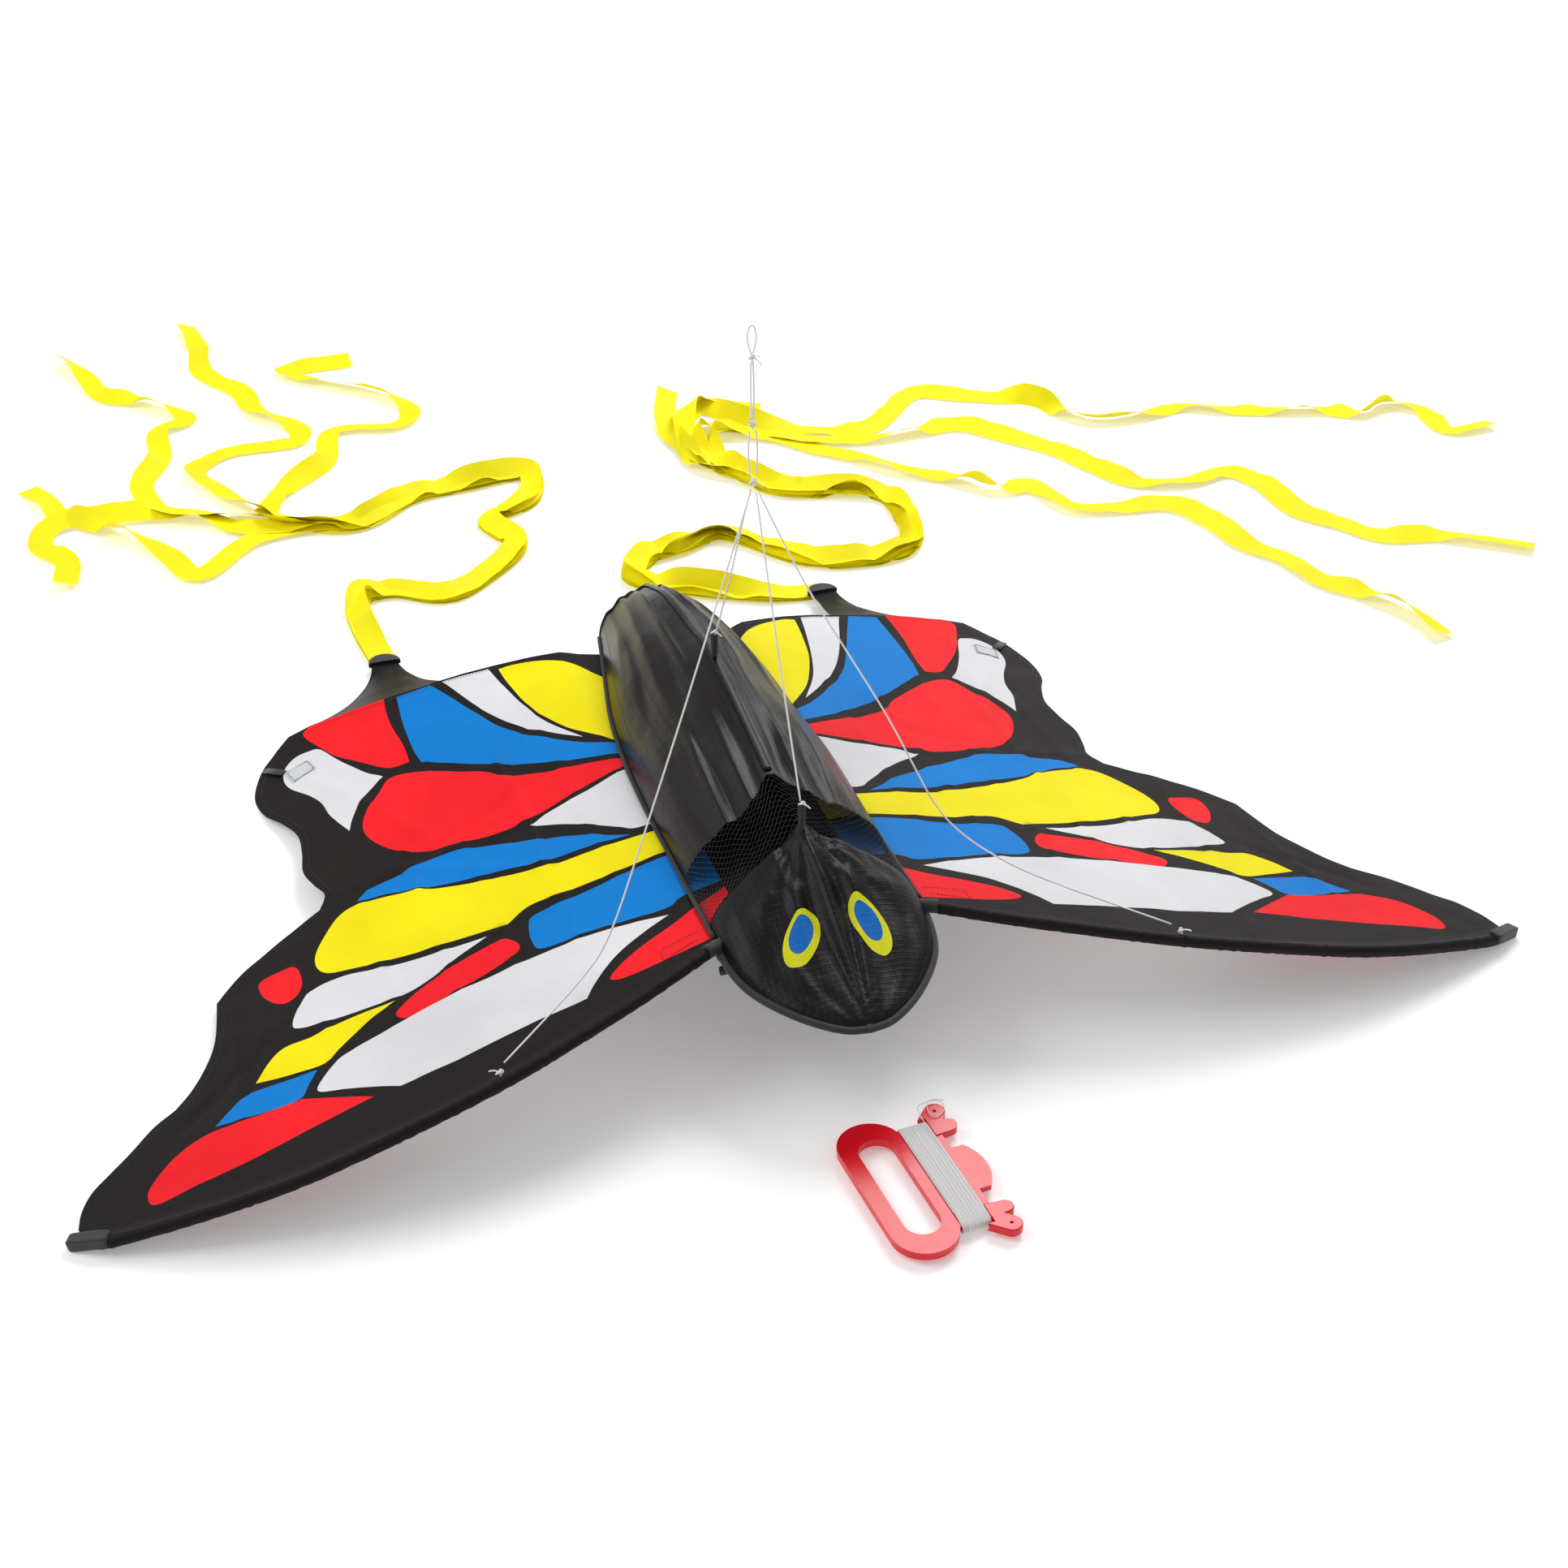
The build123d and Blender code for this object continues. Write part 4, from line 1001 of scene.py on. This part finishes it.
def overhand(name, centre, size, mat, body, turn):
    """A small tied knot: a trefoil of the same cord."""
    pts = []
    for k in range(61):
        a = 2 * math.pi * k / 60
        x = (math.sin(a) + 2 * math.sin(2 * a)) / 3 * size
        y = -math.sin(3 * a) / 2.2 * size
        z = (math.cos(a) - 2 * math.cos(2 * a)) / 3 * size
        c, s = math.cos(turn), math.sin(turn)
        pts.append(at(centre[0] + c * x - s * y, centre[1] + s * x + c * y, centre[2] + z))
    return new_object(name, tube_mesh(name, pts, 0.00075, 8, 1.0, (0.31, 0.2, 0.9)), [mat], body)


def tag_ends(name, centre, ways, mat, body):
    """Short cut ends that stick out of a knot."""
    for k, way in enumerate(ways):
        c, w = Vector(centre), Vector(way)
        pts = [at(*(c + w * t + Vector((0, 0, 1.6 * math.sin(3 * t))))) for t in (0.0, 0.35, 0.7, 1.0)]
        tail = new_object(f"{name}_end_{k}", tube_mesh(f"{name}_end_{k}", smooth_run(pts, 4), 0.00065,
                          8, 1.0, (0.3, 0.2, 0.9)), [mat], body)


KNOTS = [
    ("bridle_knot_lower", 3.6, "kite_body", [(7, -5, -3)]),
    ("bridle_knot_upper", 3.2, "kite_body", [(-6, -4, 4)]),
    ("bridle_knot_top", 3.2, "kite_body", [(7, -5, -6), (5, -6, 2)]),
    ("wing_line_knot_left", 2.6, "wing_left", [(-5, -7, 5), (-9, 2, 2)]),
    ("wing_line_knot_right", 2.6, "wing_right", [(6, -8, 4), (2, -5, -7)])]
# Where the front and rear legs are tied, over each keel loop.
KEEL_TIES = {"front": (0, 109, 199), "rear": (0, 361, 227)}


def build_knots():
    for node, size, body, ends in KNOTS:
        low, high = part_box(node)
        middle = (Vector(low) + Vector(high)) * 500
        centre = (middle.x, middle.y + ORIGIN_Y, middle.z)
        name = node.replace("bridle_", "tied_").replace("wing_line_", "tied_")
        knot = overhand(name, centre, size, BRIDLE_WHITE, body, 0.7)
        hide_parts(node)
        tag_ends(knot.name, centre, ends, BRIDLE_WHITE, body)
    for name, tie in KEEL_TIES.items():
        knot = overhand(f"keel_knot_{name}", tie, 2.8, BRIDLE_WHITE, "kite_body", 0.2)
        tag_ends(knot.name, tie, [(6, -4, -3)], BRIDLE_WHITE, "kite_body")
        low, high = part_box(f"keel_loop_{name}")
        middle = (Vector(low) + Vector(high)) / 2
        tall, deep = (high[2] - low[2]) / 2 - 0.0006, (high[1] - low[1]) / 2 - 0.0006
        ring = [middle + Vector((0, deep * math.cos(a) * (0.15 + 0.85 * ((1 + math.sin(a)) / 2) ** 0.7),
                                 tall * math.sin(a))) for a in [2 * math.pi * k / 36 for k in range(37)]]
        verts, faces = [], []
        for p in ring:
            verts += [p + Vector((-0.0025, 0, 0)), p + Vector((0.0025, 0, 0))]
        faces = [(2 * k, 2 * k + 1, 2 * k + 3, 2 * k + 2) for k in range(36)]
        loop = new_object(f"keel_strap_{name}", mesh_of(f"keel_strap_{name}", verts, faces), [TAPE_BLACK],
                          "kite_body")
        thick = loop.modifiers.new("thick", "SOLIDIFY")
        thick.thickness = 0.0011
        thick.offset = 0
        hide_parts(f"keel_loop_{name}")


def cord(name, route, nodes, body, diameter=LINE_D, mat=BRIDLE_WHITE,
         detail=6, sides=10, flat_dir=(0.1, 0.9, 0.2)):
    """Free cord along a route's smooth line, from its exit to its far end."""
    line = spline_points(route, detail)
    tube = tube_mesh(name, line, diameter / 2000, sides, 1.0, flat_dir)
    obj = new_object(name, tube, [mat], body)
    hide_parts(*nodes)
    tuple(line[0])
    round(path_length(line), 3)
    [tuple(p) for p in line]
    return obj


def build_bridle():
    for name, route in LEGS.items():
        wing = name in ("left", "right")
        leg = cord(f"leg_{name}", route, [f"bridle_leg_{name}"], None if wing else "kite_body")
        if wing:
            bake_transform(leg)
    for name, (nodes, route) in RISERS.items():
        cord(f"line_{name}", route, nodes, "kite_body")


RISERS = {
    "lower_left": (["bridle_riser_left"], [(-2.6, 237, 445), (-5.2, 237, 465), (-2.6, 237, 486)]),
    "lower_right": (["bridle_riser_right"], [(2.6, 237, 445), (5.2, 237, 465), (2.6, 237, 486)]),
    "upper_left": (["bridle_riser_top"], [(-1, 237, 495), (-1.6, 237, 522), (-1, 237, 546)]),
    "upper_right": ([], [(1, 237, 495), (1.6, 237, 522), (1, 237, 546)]),
    "tow": (["tow_loop"], [(-1, 237, 554), (-3, 237, 560), (-4, 237, 570), (-2, 237, 577.5), (2, 237, 577.5),
                           (4, 237, 570), (3, 237, 560), (1, 237, 554)])}

# ---------------------------------------------------------------- the wound line
WINDER_CENTRE = (11.0, -163.0)
WINDER_TURN = math.radians(4)
COIL_MID = (18.0, 7.5)        # across the web, and height
COIL_TURNS = 92
COIL_LAYERS = 3
COIL_WIDTH = 25.0
FLYING_D = 0.8
WEB_HALF = (59.0, 2.9)        # the web's half length and half thickness
LINE_END = [(26, 74, 15), (34, 80, 14), (46, 82, 13), (54, 76, 12.6), (50, 66, 12.6), (40, 62, 12.8),
            (36, 70, 13.6), (40, 80, 14), (48, 85, 12), (56, 80, 11)]


def on_winder(u, v, z):
    c, s = math.cos(WINDER_TURN), math.sin(WINDER_TURN)
    return (WINDER_CENTRE[0] + u * c - v * s, WINDER_CENTRE[1] + u * s + v * c, z)


def coil_points():
    """Turn after turn over the web, across it and back again for each layer."""
    points = []
    per_layer = COIL_TURNS / COIL_LAYERS
    long_half, thick_half = WEB_HALF
    for turn in range(COIL_TURNS):
        for k in range(12):
            done = turn + k / 12
            layer = int(done / per_layer)
            share = done / per_layer - layer
            across = share if layer % 2 == 0 else 1 - share
            grow = 0.45 + 0.68 * layer + 0.12 * math.sin(turn * 2.4)
            u = COIL_MID[0] - COIL_WIDTH / 2 + COIL_WIDTH * across + 0.25 * math.sin(turn * 1.7)
            reach, rise = long_half + grow, thick_half + grow
            side = 1 if k < 6 else -1
            v, z = [(-0.75 * reach, rise), (0.0, rise + 0.15), (0.75 * reach, rise), (reach - 0.6, rise),
                    (reach + 0.9, 0.55 * rise), (reach + 0.9, -0.55 * rise)][k % 6]
            points.append(on_winder(u, side * v, COIL_MID[1] + side * z))
    return points


def build_flying_line():
    cord("wound_line", coil_points() + [on_winder(*p) for p in LINE_END], ["flying_line"], "winder",
         FLYING_D, LINE_WHITE, 3, 6, (0.8, 0.05, 0.6))


# ---------------------------------------------------------------- floor, light and camera
CAMERA_AT = (-554.3, -1533.7, 1366.7)
CAMERA_YAW = 0.31677
CAMERA_PITCH = 0.58446
CAMERA_ROLL = -0.0026
LENS_RATIO = 1.58635       # focal length over the picture's width


def build_stage():
    size = 6.0
    floor = new_object("floor", mesh_of("floor", [(-size, -size, 0), (size, -size, 0), (size, size, 0),
                                                  (-size, size, 0)],
                       [(0, 1, 2, 3)]), [], None, smooth=False)
    floor.location.z = cad_low[2] - 0.0005
    mat, shader, _ = principled("floor_white", (0.92, 0.92, 0.92), 0.9)
    shader.inputs["Emission Color"].default_value = (1, 1, 1, 1)
    shader.inputs["Emission Strength"].default_value = 0.22
    floor.data.materials.append(mat)
    world = bpy.data.worlds.new("studio")
    bpy.context.scene.world = world
    world.use_nodes = True
    world.node_tree.nodes["Background"].inputs["Color"].default_value = (1, 1, 1, 1)
    world.node_tree.nodes["Background"].inputs["Strength"].default_value = 0.50
    for name, place, aim, width, power in (("key", (1.5, 1.8, 2.6), (0, 0.3, 0), 1.8, 72),
                                           ("fill", (-2.2, 0.6, 2.2), (0, 0.2, 0), 1.8, 34)):
        light = bpy.data.lights.new(name, "AREA")
        light.size = width
        light.energy = power
        lamp = bpy.data.objects.new(name, light)
        lamp.location = place
        lamp.rotation_euler = (Vector(aim) - Vector(place)).to_track_quat("-Z", "Y").to_euler()
        bpy.context.scene.collection.objects.link(lamp)
    data = bpy.data.cameras.new("camera")
    data.sensor_width = 36
    data.lens = 36 * LENS_RATIO
    data.clip_end = 50
    cam = bpy.data.objects.new("camera", data)
    ahead = Vector((math.sin(CAMERA_YAW) * math.cos(CAMERA_PITCH),
                    math.cos(CAMERA_YAW) * math.cos(CAMERA_PITCH), -math.sin(CAMERA_PITCH)))
    right = Vector((math.cos(CAMERA_YAW), -math.sin(CAMERA_YAW), 0))
    up = right.cross(ahead)
    turned_right = right * math.cos(CAMERA_ROLL) + up * math.sin(CAMERA_ROLL)
    turned_up = up * math.cos(CAMERA_ROLL) - right * math.sin(CAMERA_ROLL)
    turn = Matrix((turned_right, turned_up, -ahead)).transposed().to_4x4()
    cam.matrix_world = Matrix.Translation(at(*CAMERA_AT)) @ turn
    bpy.context.scene.collection.objects.link(cam)
    bpy.context.scene.camera = cam
    bpy.context.scene.view_settings.view_transform = "Standard"


# The CAD nodes that show; every other node is replaced by a piece above.
NODE_MATERIALS = {
    "leading_edge_rod": FIBREGLASS, "diagonal_rod": FIBREGLASS, "spine_rod": FIBREGLASS,
    "rod_hub": HUB_RUBBER, "front_tube": HUB_RUBBER, "winder_frame": RED_PLASTIC}


def paint_nodes():
    for node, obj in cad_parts.items():
        for prefix, mat in NODE_MATERIALS.items():
            if node.startswith(prefix):
                obj.data.materials[0] = mat


def write_sizes():
    bpy.context.view_layer.update()


paint_nodes()
for wing, hand in (("left", -1), ("right", 1)):
    build_wing(wing, hand, WING_SEED[wing])
    build_flap(wing, hand)
    build_pockets(wing, hand)
build_middle()
build_body()
build_net()
build_head()
build_ribbons()
build_bridle()
build_knots()
build_flying_line()
build_stage()
write_sizes()
